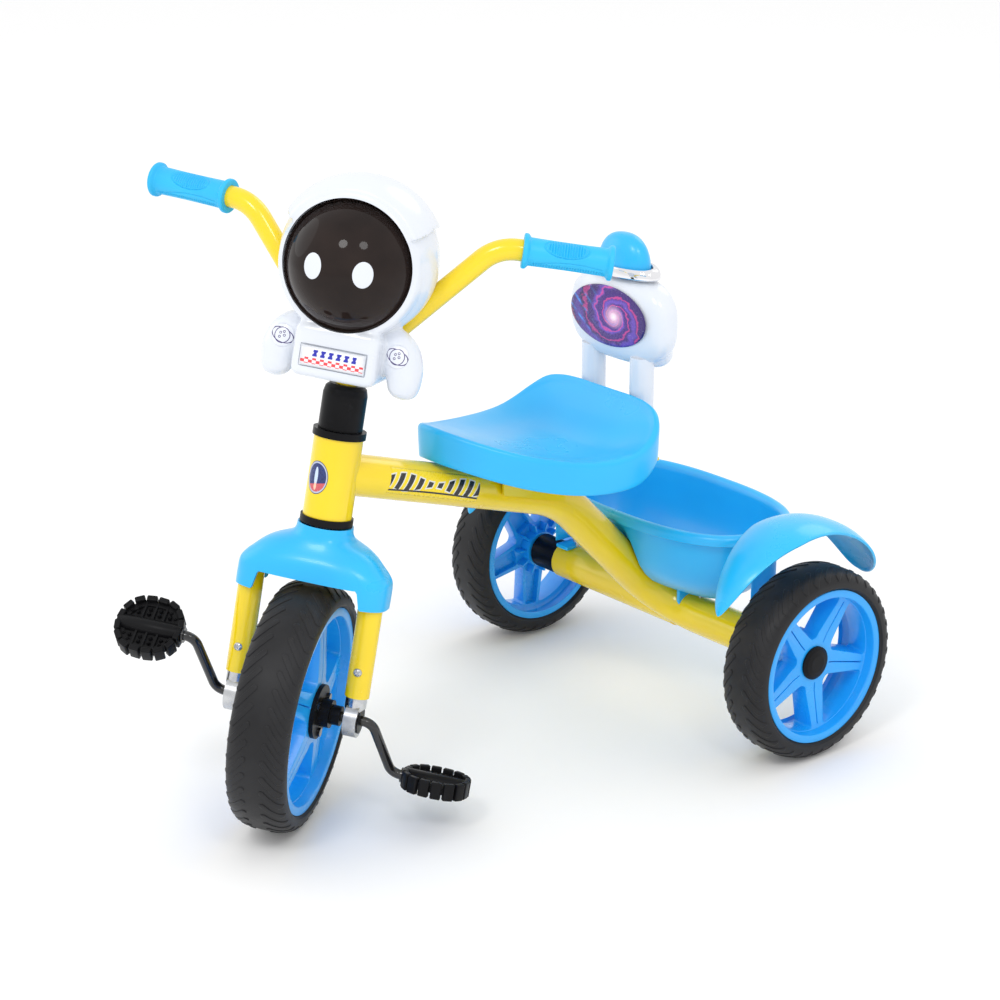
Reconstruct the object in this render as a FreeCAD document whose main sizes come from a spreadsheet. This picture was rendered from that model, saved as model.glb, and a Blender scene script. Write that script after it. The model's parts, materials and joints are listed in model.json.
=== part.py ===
import FreeCAD, Part
import Sketcher
import math
import os
import re

# Children's tricycle. Millimetres, +Z up, the front wheel towards -Y and +X on the rider's left.
# The origin is on the floor, under the middle of the tricycle's box.
# It stands as it was left: handlebar turned to the rider's left, rider's left pedal low.

Vector = FreeCAD.Vector
Placement = FreeCAD.Placement
Rotation = FreeCAD.Rotation

doc = FreeCAD.newDocument("Tricycle")
sheet = doc.addObject("Spreadsheet::Sheet", "Sizes")
pieces = []

sizes = {
    # stance
    "Wheelbase": 467.0,
    "RearAxleBack": 243.7,
    "OverallWidth": 460.0,
    "HeadAngle": 12.12,
    "ForkOffset": 16.5,
    "SteerAtRest": 36.9,
    "CrankAtRest": -60.2,
    # fits
    "RunningFit": 0.05,
    "FaceGap": 0.5,
    "Wall": 2.5,
    # rear wheels
    "RearRadius": 95.0,
    "RearTyreWidth": 51.6,
    "RearRimRadius": 76.7,
    "RearHubIn": 22.0,
    "RearHubOut": 9.8,
    "RearHubRadius": 22.0,
    "RearWindowHalf": 25.0,
    "TyreShoulder": 10.0,
    "RimInset": 2.0,
    "BarrelWall": 4.0,
    "WebHalf": 7.0,
    "SpokeCount": 5,
    "CapRadius": 16.5,
    "CapHeight": 5.0,
    # rear axle
    "AxleRadius": 5.0,
    "NutRadius": 9.0,
    "NutLength": 6.0,
    "NutPocket": 11.0,
    "NutPocketDepth": 7.5,
    "AxleTubeHalf": 147.0,
    "BushRadius": 18.0,
    "BushPlug": 20.0,
    # front wheel
    "FrontRadius": 113.8,
    "FrontTyreWidth": 55.0,
    "FrontRimRadius": 95.7,
    "FrontHubHalf": 22.0,
    "FrontHubRadius": 26.0,
    "FrontWindowHalf": 26.0,
    "FlangeRadius": 25.0,
    "FlangeThick": 4.0,
    "CollarRadius": 13.0,
    "CollarLength": 10.0,
    "NeckRadius": 9.0,
    "NeckLength": 9.0,
    "HubBoltCircle": 19.0,
    "HubBoltRadius": 2.0,
    # crank and pedals
    "CrankRodRadius": 4.5,
    "CrankRadius": 59.0,
    "CrankElbow": 74.0,
    "CrankKnee": 92.0,
    "CrankBend": 12.0,
    "PedalStart": 103.6,
    "PedalLength": 61.3,
    "PedalWidth": 58.0,
    "PedalThick": 16.0,
    "PedalCorner": 14.0,
    "PedalRecess": 8.0,
    "PedalRecessDepth": 7.0,
    "PedalTiltLeft": -3.0,
    "PedalTiltRight": 45.0,
    "WasherRadius": 7.0,
    "WasherThick": 1.6,
    # frame tubes
    "TubeRadius": 19.3,
    "TubeWall": 1.5,
    "MainTubeOnHead": 214.4,
    "MainTubeSlope": 17.6,
    "MainBendForward": 139.0,
    "MainBendRadius": 120.0,
    "AxleBendRadius": 60.0,
    "HeadRadius": 22.25,
    "HeadWall": 2.25,
    "HeadBottom": 175.0,
    "HeadTop": 248.0,
    "CupRadius": 24.0,
    "CupLip": 6.5,
    "CupSleeve": 10.0,
    # fork
    "SteererRadius": 12.7,
    "LegRadius": 11.25,
    "LegWall": 1.5,
    "LegAcross": 56.3,
    "LegBottom": 21.7,
    "LegTop": 128.0,
    "CrownThick": 6.0,
    "CrownHalf": 60.0,
    "CrownBack": 15.0,
    "EyeOuter": 16.0,
    "EyeInner": 12.0,
    "EyeHalf": 6.0,
    "EyeShankTop": 60.0,
    "LegScrewUp": 46.3,
    "ScrewRadius": 2.2,
    "ScrewHeadRadius": 4.2,
    "ScrewHeadHeight": 2.4,
    "CoverHalf": 69.4,
    "CoverBottom": 104.0,
    "CoverShoulder": 130.0,
    "CoverTop": 167.5,
    "CoverArchHalf": 41.0,
    "CoverArchTop": 121.0,
    "CoverWall": 1.8,
    "CoverFront": 38.0,
    "CoverBack": 18.0,
    # stem and handlebar
    "BootTop": 295.5,
    "BootRadius": 20.0,
    "StemRadius": 10.0,
    "StemBottom": 232.0,
    "SteererTop": 284.0,
    "ClampRadius": 16.5,
    "ClampLength": 16.0,
    "BarRadius": 9.75,
    "BarMiddleUp": 330.0,
    "BarMiddleHalf": 18.0,
    "BarElbowAcross": 113.0,
    "BarElbowBack": 8.2,
    "BarElbowUp": 437.8,
    "BarSweep": 13.7,
    "BarLift": 0.9,
    "GripStart": 21.8,
    "GripLength": 79.4,
    "GripRadius": 12.8,
    "GripFlange": 15.5,
    "GripFlangeThick": 5.0,
    # helmet lamp
    "HelmetRadius": 70.0,
    "HelmetForward": 20.0,
    "HelmetUp": 410.0,
    "HelmetFlat": 44.0,
    "VisorUp": 405.7,
    "VisorFace": 49.0,
    "BezelRadius": 63.0,
    "BezelDepth": 8.0,
    "DomeRadius": 53.0,
    "DomeHeight": 35.0,
    "DomeWall": 2.0,
    "BodyHalf": 38.0,
    "BodyBottom": 301.6,
    "BodyTop": 356.0,
    "BodyFront": 60.0,
    "BodyBack": 14.0,
    "ArmRadius": 14.0,
    "PlateWidth": 58.0,
    "PlateHeight": 17.5,
    "PlateUp": 324.0,
    "PlateThick": 1.6,
    "DoorWidth": 32.0,
    "DoorHeight": 28.0,
    "DoorUp": 416.0,
    "DoorThick": 2.0,
    "ButtonUp": 391.0,
    "ButtonRadius": 6.0,
    "ButtonProud": 3.0,
    "BarClearance": 0.4,
    # seat and backrest
    "SeatNose": 305.0,
    "SeatRear": 78.0,
    "SeatHalf": 101.0,
    "SeatSkirt": 31.0,
    "SeatMountUp": 284.0,
    "SeatMountHalf": 24.0,
    "SeatMountFront": 228.0,
    "SeatMountBack": 152.0,
    "BracketDrop": 16.0,
    "BracketThick": 3.0,
    "BracketHalf": 48.0,
    "PostAcross": 34.4,
    "PostForward": 64.0,
    "PostRadius": 12.0,
    "PostTop": 372.0,
    "BackHalf": 68.0,
    "BackThick": 44.0,
    "BackBottom": 363.0,
    "BackTop": 447.0,
    "BackForward": 57.0,
    "LobeRadius": 17.5,
    "LobeBottom": 356.0,
    "BadgeHalfWidth": 53.0,
    "BadgeHalfHeight": 29.5,
    "BadgeUp": 407.7,
    "CollarHalf": 46.0,
    "CollarDepth": 21.0,
    "CollarHeight": 10.0,
    "KnobHalf": 32.0,
    "KnobDepth": 18.0,
    "KnobTop": 486.5,
    # basket and mudguards
    "BasketHalf": 141.0,
    "BasketDepth": 80.0,
    "BasketBack": 10.0,
    "BasketRimUp": 206.5,
    "BasketBottom": 118.0,
    "BasketLip": 9.0,
    "BasketLipTall": 11.0,
    "BasketRound": 38.0,
    "BasketTaper": 14.0,
    "TubeChannel": 3.0,
    "RibAcross": 44.0,
    "RibThick": 4.0,
    "ScrewAcross": 58.0,
    "GuardOver": 23.0,
    "GuardRadius": 107.6,
    "GuardCrown": 7.0,
    "GuardInner": 150.0,
    "GuardOuter": 216.0,
    "GuardLeg": 143.0,
    "GuardFoot": 122.0,
}


def fillSheet():
    for row, (alias, value) in enumerate(sizes.items(), start=1):
        sheet.set(f"A{row}", alias)
        sheet.set(f"B{row}", str(value))
        sheet.setAlias(f"B{row}", alias)
    doc.recompute()


def size(text):
    """value of a sum of sheet cells, such as "RearRadius - TyreShoulder" """
    return float(sheet.evalExpression(text))


def bound(text):
    """the same sum, as an expression that another object can be bound to"""
    return re.sub(r"[A-Z]\w+", lambda found: "Sizes." + found.group(), text)


# ---- features ----

def place(x=0.0, y=0.0, z=0.0, axis=Vector(0, 0, 1), angle=0.0):
    return Placement(Vector(x, y, z), Rotation(axis, angle))


def keep(thing, label, where):
    thing.Label = label
    thing.Placement = where
    pieces.append(thing)
    return thing


def originPlane(body, role):
    return next(item for item in body.Origin.OriginFeatures if item.Role == role)


def outline(body, role, corners, name):
    """closed outline; each corner is a pair of sums of sheet cells"""
    sketch = body.newObject("Sketcher::SketchObject", name)
    sketch.AttachmentSupport = [(originPlane(body, role), "")]
    sketch.MapMode = "FlatFace"
    points = [Vector(size(across), size(up), 0) for across, up in corners]
    count = len(points)
    for n, point in enumerate(points):
        sketch.addGeometry(Part.LineSegment(point, points[(n + 1) % count]), False)
    for n, point in enumerate(points):
        sketch.addConstraint(Sketcher.Constraint("Coincident", n, 2, (n + 1) % count, 1))
        for kind, text, value in zip(("DistanceX", "DistanceY"), corners[n], (point.x, point.y)):
            index = sketch.addConstraint(Sketcher.Constraint(kind, n, 1, value))
            sketch.setExpression(f"Constraints[{index}]", bound(text))
    return sketch


def turned(label, corners, where, axis="X"):
    """solid of revolution about the local X, Y or Z axis"""
    role, reference = {
        "X": ("XY_Plane", "H_Axis"),
        "Y": ("XY_Plane", "V_Axis"),
        "Z": ("XZ_Plane", "V_Axis"),
    }[axis]
    body = doc.addObject("PartDesign::Body", label)
    sketch = outline(body, role, corners, label + "_profile")
    revolution = body.newObject("PartDesign::Revolution", label + "_turn")
    revolution.Profile = sketch
    revolution.ReferenceAxis = (sketch, [reference])
    revolution.Angle = 360
    return keep(body, label, where)


def padded(body, sketch, length, name, kind="Pad"):
    feature = body.newObject("PartDesign::" + kind, name)
    feature.Profile = sketch
    feature.Midplane = True
    feature.setExpression("Length", bound(length))
    return feature


def plate(label, role, corners, length, where):
    """flat piece, padded to both sides of a plane"""
    body = doc.addObject("PartDesign::Body", label)
    sketch = outline(body, role, corners, label + "_outline")
    padded(body, sketch, length, label + "_pad")
    return keep(body, label, where)


def cylinder(name, radius, length, where=Placement()):
    solid = doc.addObject("Part::Cylinder", name)
    solid.setExpression("Radius", bound(radius))
    solid.setExpression("Height", bound(length))
    solid.Placement = where
    return solid


def box(name, length, width, height, where):
    solid = doc.addObject("Part::Box", name)
    solid.setExpression("Length", bound(length))
    solid.setExpression("Width", bound(width))
    solid.setExpression("Height", bound(height))
    solid.Placement = where
    return solid


def cutFrom(name, base, tool):
    result = doc.addObject("Part::Cut", name)
    result.Base = base
    result.Tool = tool
    return result


def tube(label, outer, inner, length, base, where):
    outside = cylinder(label + "_outside", outer, length, base)
    inside = cylinder(label + "_inside", inner, length, base)
    return keep(cutFrom(label, outside, inside), label, where)


def shaped(label, shape, where):
    feature = doc.addObject("Part::Feature", label)
    feature.Shape = shape
    return keep(feature, label, where * shape.Placement)


def group(label, shapes, where):
    return shaped(label, Part.makeCompound(shapes), where)


# ---- shapes ----

def rod(start, end, radius):
    start, end = Vector(*start), Vector(*end)
    return Part.makeCylinder(radius, (end - start).Length, start, end - start)


def block(low, high):
    low, high = Vector(*low), Vector(*high)
    span = high - low
    return Part.makeBox(span.x, span.y, span.z, low)


def largest(shape):
    return max(shape.Solids, key=lambda solid: solid.Volume)


def bentPath(points, radii):
    """straight runs joined by tangent arcs; one radius for each inner point"""
    points = [Vector(*point) for point in points]
    edges = []
    last = points[0]
    for before, corner, after, radius in zip(points, points[1:], points[2:], radii):
        back = (before - corner).normalize()
        ahead = (after - corner).normalize()
        half = back.getAngle(ahead) / 2
        reach = radius / math.tan(half)
        enter = corner + back * reach
        leave = corner + ahead * reach
        middle = corner + (back + ahead).normalize() * (radius / math.sin(half) - radius)
        edges.append(Part.LineSegment(last, enter).toShape())
        edges.append(Part.Arc(enter, middle, leave).toShape())
        last = leave
    edges.append(Part.LineSegment(last, points[-1]).toShape())
    return Part.Wire(edges)


def bentRod(points, radii, radius):
    path = bentPath(points, radii)
    start = Vector(*points[0])
    ahead = Vector(*points[1]) - start
    ring = Part.Wire(Part.makeCircle(radius, start, ahead))
    return path.makePipeShell([ring], True, True)


def closedCurve(points):
    curve = Part.BSplineCurve()
    curve.interpolate([Vector(*point) for point in points], PeriodicFlag=True)
    return Part.Face(Part.Wire(curve.toShape()))


def spun(points, axis=Vector(0, 0, 1), centre=Vector(0, 0, 0)):
    """polygon in the XZ plane, turned about an axis"""
    corners = [Vector(*point) for point in points]
    wire = Part.makePolygon(corners + corners[:1])
    return Part.Face(wire).revolve(centre, axis, 360)


def squeezed(shape, across, along, up=1.0):
    matrix = FreeCAD.Matrix()
    matrix.scale(across, along, up)
    return shape.transformGeometry(matrix)


# ---- where each moving group stands ----

def framePlace():
    return place(y=size("RearAxleBack"))


def axlePlace():
    return framePlace() * place(z=size("RearRadius"))


def hubHeight():
    """height of the front hub over the floor: turned steering leans the wheel onto its shoulder"""
    lean = math.asin(math.sin(math.radians(size("HeadAngle"))) * math.sin(math.radians(size("SteerAtRest"))))
    return max(
        size(up) * math.cos(lean) + abs(size(across)) * math.sin(abs(lean))
        for across, up in tyreCorners("FrontRadius", "FrontTyreWidth", "FrontRimRadius")
    )


def headPlace():
    """steering axis: local Z runs up it, local Y points back, and Z = 0 is level with the front hub"""
    angle = math.radians(size("HeadAngle"))
    offset = size("ForkOffset")
    back = -size("Wheelbase") + offset * math.cos(angle)
    up = hubHeight() - offset * math.sin(angle) * math.cos(math.radians(size("SteerAtRest")))
    return framePlace() * place(y=back, z=up, axis=Vector(1, 0, 0), angle=-size("HeadAngle"))


def steerPlace():
    return headPlace() * place(angle=size("SteerAtRest"))


def hubPlace():
    return steerPlace() * place(y=-size("ForkOffset"))


def crankPlace():
    return hubPlace() * place(axis=Vector(1, 0, 0), angle=size("CrankAtRest"))


def rearWheelPlace(side):
    across = size("OverallWidth / 2 - RearTyreWidth / 2")
    turn = 0 if side > 0 else 180
    return axlePlace() * place(x=side * across, angle=turn)


# ---- wheels ----

def tyreCorners(radius, width, rim):
    """left half of a tyre's section, from the rim to the tread"""
    half = f"{width} / 2"
    return [
        (f"0 - {half}", rim),
        (f"0 - {half}", f"{radius} - TyreShoulder"),
        (f"TyreShoulder * 0.35 - {half}", f"{radius} - TyreShoulder * 0.3"),
        (f"TyreShoulder - {half}", radius),
    ]


def tyre(label, radius, width, rim, where):
    left = tyreCorners(radius, width, rim)
    right = [(f"0 - ({across})", up) for across, up in reversed(left)]
    return turned(label, left + right, where)


def rimWithWindows(label, profile, inner, outer, halfAngle, where):
    body = turned(label, profile, where)
    corners = [
        (f"({inner}) * cos({halfAngle})", f"0 - ({inner}) * sin({halfAngle})"),
        (f"({outer}) * cos({halfAngle})", f"0 - ({outer}) * sin({halfAngle})"),
        (f"{outer}", "0"),
        (f"({outer}) * cos({halfAngle})", f"({outer}) * sin({halfAngle})"),
        (f"({inner}) * cos({halfAngle})", f"({inner}) * sin({halfAngle})"),
    ]
    sketch = outline(body, "YZ_Plane", corners, label + "_window")
    pocket = padded(body, sketch, "WebHalf * 4", label + "_pocket", "Pocket")
    doc.recompute()
    pattern = body.newObject("PartDesign::PolarPattern", label + "_windows")
    pattern.Originals = [pocket]
    pattern.Axis = (sketch, ["N_Axis"])
    pattern.Angle = 360
    pattern.setExpression("Occurrences", bound("SpokeCount"))
    body.Tip = pattern
    return body


def rearWheel(name, side):
    where = rearWheelPlace(side)
    tyre(f"rear_tyre_{name}", "RearRadius", "RearTyreWidth", "RearRimRadius", where)
    bore = "AxleRadius + RunningFit"
    edge = "RearTyreWidth / 2 - RimInset"
    barrel = "RearRimRadius - BarrelWall"
    profile = [
        ("0 - RearHubIn", bore),
        ("0 - RearHubIn", "RearHubRadius"),
        ("0 - WebHalf", "RearHubRadius"),
        ("0 - WebHalf", barrel),
        (f"0 - ({edge})", barrel),
        (f"0 - ({edge})", "RearRimRadius"),
        (edge, "RearRimRadius"),
        (edge, barrel),
        ("WebHalf", barrel),
        ("WebHalf", "RearHubRadius"),
        ("RearHubOut", "RearHubRadius"),
        ("RearHubOut", "NutPocket"),
        ("RearHubOut - NutPocketDepth", "NutPocket"),
        ("RearHubOut - NutPocketDepth", bore),
    ]
    rimWithWindows(f"rear_rim_{name}", profile, "RearHubRadius + 6", f"{barrel} - 4", "RearWindowHalf", where)
    cap = [
        ("RearHubOut", "0"),
        ("RearHubOut", "CapRadius"),
        ("RearHubOut + CapHeight * 0.4", "CapRadius"),
        ("RearHubOut + CapHeight * 0.8", "CapRadius * 0.8"),
        ("RearHubOut + CapHeight", "CapRadius * 0.5"),
        ("RearHubOut + CapHeight", "0"),
    ]
    turned(f"hub_cap_{name}", cap, where)


def frontWheel():
    where = crankPlace()
    tyre("front_tyre", "FrontRadius", "FrontTyreWidth", "FrontRimRadius", where)
    edge = "FrontTyreWidth / 2 - RimInset"
    barrel = "FrontRimRadius - BarrelWall"
    profile = [
        ("0 - FrontHubHalf", "CrankRodRadius"),
        ("0 - FrontHubHalf", "FrontHubRadius"),
        ("0 - WebHalf", "FrontHubRadius"),
        ("0 - WebHalf", barrel),
        (f"0 - ({edge})", barrel),
        (f"0 - ({edge})", "FrontRimRadius"),
        (edge, "FrontRimRadius"),
        (edge, barrel),
        ("WebHalf", barrel),
        ("WebHalf", "FrontHubRadius"),
        ("FrontHubHalf", "FrontHubRadius"),
        ("FrontHubHalf", "CrankRodRadius"),
    ]
    body = rimWithWindows(
        "front_rim", profile, "FrontHubRadius + 6", f"{barrel} - 4", "FrontWindowHalf", where
    )
    boltHoles(body)


def boltHoles(body):
    """holes through the hub for the bolts that clamp both flanges"""
    last = body.Tip
    sketch = body.newObject("Sketcher::SketchObject", "hub_bolt_hole")
    sketch.AttachmentSupport = [(originPlane(body, "YZ_Plane"), "")]
    sketch.MapMode = "FlatFace"
    circle = Part.Circle(Vector(0, size("HubBoltCircle"), 0), Vector(0, 0, 1), size("HubBoltRadius"))
    sketch.addGeometry(circle, False)
    for kind, text in (("DistanceX", "0"), ("DistanceY", "HubBoltCircle")):
        index = sketch.addConstraint(Sketcher.Constraint(kind, 0, 3, size(text)))
        sketch.setExpression(f"Constraints[{index}]", bound(text))
    index = sketch.addConstraint(Sketcher.Constraint("Radius", 0, size("HubBoltRadius")))
    sketch.setExpression(f"Constraints[{index}]", bound("HubBoltRadius"))
    pocket = padded(body, sketch, "FrontHubHalf * 4", "hub_bolt_pocket", "Pocket")
    doc.recompute()
    pattern = body.newObject("PartDesign::PolarPattern", "hub_bolt_holes")
    pattern.Originals = [pocket]
    pattern.Axis = (sketch, ["N_Axis"])
    pattern.Angle = 360
    pattern.Occurrences = 3
    body.Tip = pattern
    return last


def boltAngles():
    return [90, 210, 330]


def hubFlanges():
    start = size("FrontHubHalf")
    face = start + size("FlangeThick")
    collar = face + size("CollarLength")
    neck = collar + size("NeckLength")
    bore = size("CrankRodRadius")
    solids = []
    for side in (1, -1):
        steps = [(start, "FlangeRadius", face), (face, "CollarRadius", collar), (collar, "NeckRadius", neck)]
        flange = rod((side * steps[0][0], 0, 0), (side * steps[0][2], 0, 0), size(steps[0][1]))
        for low, radius, high in steps[1:]:
            flange = flange.fuse(rod((side * low, 0, 0), (side * high, 0, 0), size(radius)))
        flange = flange.cut(rod((side * start, 0, 0), (side * neck, 0, 0), bore))
        for bolt in hubBoltShanks():
            flange = flange.cut(bolt)
        solids.append(flange.removeSplitter())
    group("hub_flanges", solids, crankPlace())


def hubBoltShanks():
    reach = size("FrontHubHalf + FlangeThick")
    radius = size("HubBoltCircle")
    shanks = []
    for angle in boltAngles():
        y = radius * math.cos(math.radians(angle))
        z = radius * math.sin(math.radians(angle))
        shanks.append(rod((-reach, y, z), (reach, y, z), size("HubBoltRadius")))
    return shanks


def hubBolts():
    reach = size("FrontHubHalf + FlangeThick")
    radius = size("HubBoltCircle")
    tall = size("ScrewHeadHeight")
    solids = []
    for angle, shank in zip(boltAngles(), hubBoltShanks()):
        y = radius * math.cos(math.radians(angle))
        z = radius * math.sin(math.radians(angle))
        for side in (1, -1):
            head = rod((side * reach, y, z), (side * (reach + tall), y, z), size("ScrewHeadRadius"))
            shank = shank.fuse(head)
        solids.append(shank)
    group("hub_bolts", solids, crankPlace())


# ---- crank and pedals ----

def crank():
    end = size("PedalStart + PedalLength - 3")
    elbow = size("CrankElbow")
    knee = size("CrankKnee")
    reach = size("CrankRadius")
    bend = size("CrankBend")
    points = [
        (end, reach, 0),
        (knee, reach, 0),
        (elbow, 0, 0),
        (-elbow, 0, 0),
        (-knee, -reach, 0),
        (-end, -reach, 0),
    ]
    shaped("crank", bentRod(points, [bend] * 4, size("CrankRodRadius")), crankPlace())


def washer(low, high, across, bore):
    outside = rod((low, across, 0), (high, across, 0), size("WasherRadius"))
    return outside.cut(rod((low, across, 0), (high, across, 0), bore))


def pedalWashers():
    thick = size("WasherThick")
    inner = size("PedalStart - FaceGap")
    recess = size("PedalStart + PedalLength - PedalRecessDepth + FaceGap")
    bore = size("CrankRodRadius")
    reach = size("CrankRadius")
    solids = []
    for side in (1, -1):
        for start in (inner - thick, recess):
            solids.append(washer(side * start, side * (start + thick), side * reach, bore))
    group("pedal_washers", solids, crankPlace())


def pedal(label, side, tilt):
    """octagonal block on its spindle; local X runs outwards along the spindle"""
    half = "PedalWidth / 2"
    far = "PedalLength"
    cut = "PedalCorner"
    corners = [
        ("0", f"{cut} - {half}"),
        (cut, f"0 - {half}"),
        (f"{far} - {cut}", f"0 - {half}"),
        (far, f"{cut} - {half}"),
        (far, f"{half} - {cut}"),
        (f"{far} - {cut}", half),
        (cut, half),
        ("0", f"{half} - {cut}"),
    ]
    spindle = Vector(side * size("PedalStart"), side * size("CrankRadius"), 0)
    where = crankPlace() * Placement(spindle, Rotation())
    where = where * place(axis=Vector(1, 0, 0), angle=size(tilt) - size("CrankAtRest"))
    if side < 0:
        where = where * place(angle=180)
    body = plate(label, "XY_Plane", corners, "PedalThick", where)
    profile = [
        ("0 - 1", "0"),
        ("0 - 1", "CrankRodRadius + RunningFit"),
        ("PedalLength - PedalRecessDepth", "CrankRodRadius + RunningFit"),
        ("PedalLength - PedalRecessDepth", "PedalRecess * 0.95"),
        ("PedalLength - 2", "PedalRecess * 0.95"),
        ("PedalLength - 2", "0"),
    ]
    sketch = outline(body, "XY_Plane", profile, label + "_bore")
    groove = body.newObject("PartDesign::Groove", label + "_groove")
    groove.Profile = sketch
    groove.ReferenceAxis = (sketch, ["H_Axis"])
    groove.Angle = 360
    return body


# ---- rear axle ----

def rearAxle():
    across = size("OverallWidth / 2 - RearTyreWidth / 2")
    face = across + size("RearHubOut - NutPocketDepth + FaceGap")
    end = face + size("NutLength")
    nuts = []
    bushes = []
    stubs = []
    tubeEnd = size("AxleTubeHalf")
    bushEnd = across - size("RearHubIn + FaceGap")
    plugStart = tubeEnd - size("BushPlug")
    for side in (1, -1):
        bore = rod((0, 0, 0), (side * end, 0, 0), size("AxleRadius"))
        stub = rod((side * plugStart, 0, 0), (side * end, 0, 0), size("AxleRadius"))
        head = rod((side * (plugStart - 5), 0, 0), (side * plugStart, 0, 0), size("NutRadius"))
        stubs.append(stub.fuse(head))
        nuts.append(rod((side * face, 0, 0), (side * end, 0, 0), size("NutRadius")).cut(bore))
        spacer = rod((side * tubeEnd, 0, 0), (side * bushEnd, 0, 0), size("BushRadius"))
        plug = rod((side * plugStart, 0, 0), (side * tubeEnd, 0, 0), size("TubeRadius - TubeWall"))
        bush = spacer.fuse(plug).cut(bore)
        for shank in frameScrewShanks():
            shank.translate(Vector(0, 0, -size("RearRadius")))
            bush = bush.cut(shank)
        bushes.append(bush)
    group("axle_nuts", nuts, axlePlace())
    group("axle_bushes", bushes, axlePlace())
    group("stub_axles", stubs, axlePlace())


# ---- frame ----

def mainTubePoints():
    """centre line, measured from the floor under the rear axle"""
    head = headPlace().multVec(Vector(0, 0, size("MainTubeOnHead")))
    head.y -= size("RearAxleBack")
    bendY = -size("MainBendForward")
    bendZ = head.z - (bendY - head.y) * math.tan(math.radians(size("MainTubeSlope")))
    axleUp = size("RearRadius")
    return [
        (0, head.y, head.z),
        (0, bendY, bendZ),
        (0, 0, axleUp),
        (size("AxleTubeHalf"), 0, axleUp),
    ]


def mainTubeSolid(radius):
    radii = [size("MainBendRadius"), size("AxleBendRadius")]
    return bentRod(mainTubePoints(), radii, radius)


def headCylinder(radius, low, high):
    """cylinder about the steering axis, in the frame's coordinates"""
    local = framePlace().inverse() * headPlace()
    solid = rod((0, 0, low), (0, 0, high), radius)
    solid.Placement = local * solid.Placement
    return solid


def frameScrewPoints():
    guard = size("GuardFoot") + 6
    return [(side * across, 0) for across in (size("ScrewAcross"), guard) for side in (1, -1)]


def frameScrewShanks():
    low = size("RearRadius + TubeRadius") - 5
    high = size("BasketBottom + Wall")
    radius = size("ScrewRadius")
    return [rod((x, y, low), (x, y, high), radius) for x, y in frameScrewPoints()]


def frameScrews():
    top = size("BasketBottom + Wall")
    high = top + size("ScrewHeadHeight")
    solids = []
    for (x, y), shank in zip(frameScrewPoints(), frameScrewShanks()):
        solids.append(shank.fuse(rod((x, y, top), (x, y, high), size("ScrewHeadRadius"))))
    group("frame_screws", solids, framePlace())


def mainTube():
    head = headCylinder(size("HeadRadius"), size("HeadBottom"), size("HeadTop"))
    shape = mainTubeSolid(size("TubeRadius"))
    shape = shape.cut(mainTubeSolid(size("TubeRadius - TubeWall")))
    shape = shape.cut(head)
    for shank in frameScrewShanks():
        shape = shape.cut(shank)
    shaped("main_tube", largest(shape), framePlace())


def axleTubeRight():
    up = size("RearRadius")
    half = size("AxleTubeHalf")
    start = (-half, 0, up)
    end = (size("AxleBendRadius") / 2, 0, up)
    shape = rod(start, end, size("TubeRadius"))
    shape = shape.cut(rod(start, end, size("TubeRadius - TubeWall")))
    shape = shape.cut(mainTubeSolid(size("TubeRadius")))
    for shank in frameScrewShanks():
        shape = shape.cut(shank)
    shaped("axle_tube_right", largest(shape), framePlace())


def headTube():
    base = place(z=size("HeadBottom"))
    tube("head_tube", "HeadRadius", "HeadRadius - HeadWall", "HeadTop - HeadBottom", base, headPlace())
    bore = "SteererRadius + RunningFit"
    sleeve = "HeadRadius - HeadWall"
    lower = [
        (bore, "HeadBottom - CupLip"),
        ("CupRadius", "HeadBottom - CupLip"),
        ("CupRadius", "HeadBottom"),
        (sleeve, "HeadBottom"),
        (sleeve, "HeadBottom + CupSleeve"),
        (bore, "HeadBottom + CupSleeve"),
    ]
    upper = [
        (bore, "HeadTop - CupSleeve"),
        (sleeve, "HeadTop - CupSleeve"),
        (sleeve, "HeadTop"),
        ("CupRadius", "HeadTop"),
        ("CupRadius", "HeadTop + CupLip"),
        (bore, "HeadTop + CupLip"),
    ]
    turned("headset_lower_cup", lower, headPlace(), "Z")
    turned("headset_upper_cup", upper, headPlace(), "Z")


# ---- fork ----

def legScrews():
    front = -size("LegRadius")
    up = size("LegScrewUp")
    solids = []
    for side in (1, -1):
        x = side * size("LegAcross")
        shank = rod((x, front, up), (x, -2, up), size("ScrewRadius"))
        head = rod((x, front - size("ScrewHeadHeight"), up), (x, front + 0.6, up), size("ScrewHeadRadius"))
        leg = rod((x, 0, up - 20), (x, 0, up + 20), size("LegRadius"))
        solids.append(shank.fuse(head.cut(leg)))
    return solids


def forkLegs():
    low = size("LegBottom")
    high = size("LegTop")
    screws = legScrews()
    for name, side in (("left", 1), ("right", -1)):
        x = side * size("LegAcross")
        leg = rod((x, 0, low), (x, 0, high), size("LegRadius"))
        leg = leg.cut(rod((x, 0, low), (x, 0, high), size("LegRadius - LegWall")))
        for screw in screws:
            leg = leg.cut(screw)
        shaped(f"fork_leg_{name}", leg, hubPlace())
    group("leg_screws", screws, hubPlace())


def forkEyes():
    half = size("EyeHalf")
    eyes = []
    bushes = []
    for side in (1, -1):
        x = side * size("LegAcross")
        ring = rod((x - half, 0, 0), (x + half, 0, 0), size("EyeOuter"))
        shank = rod((x, 0, 0), (x, 0, size("EyeShankTop")), size("LegRadius - LegWall"))
        hole = rod((x - 20, 0, 0), (x + 20, 0, 0), size("EyeInner"))
        eye = ring.fuse(shank).cut(hole)
        for screw in legScrews():
            eye = eye.cut(screw)
        eyes.append(eye)
        bush = rod((x - half - 1, 0, 0), (x + half + 1, 0, 0), size("EyeInner"))
        bore = rod((x - 20, 0, 0), (x + 20, 0, 0), size("CrankRodRadius + RunningFit"))
        bushes.append(bush.cut(bore))
    group("fork_eyes", eyes, hubPlace())
    group("eye_bushes", bushes, hubPlace())


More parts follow.
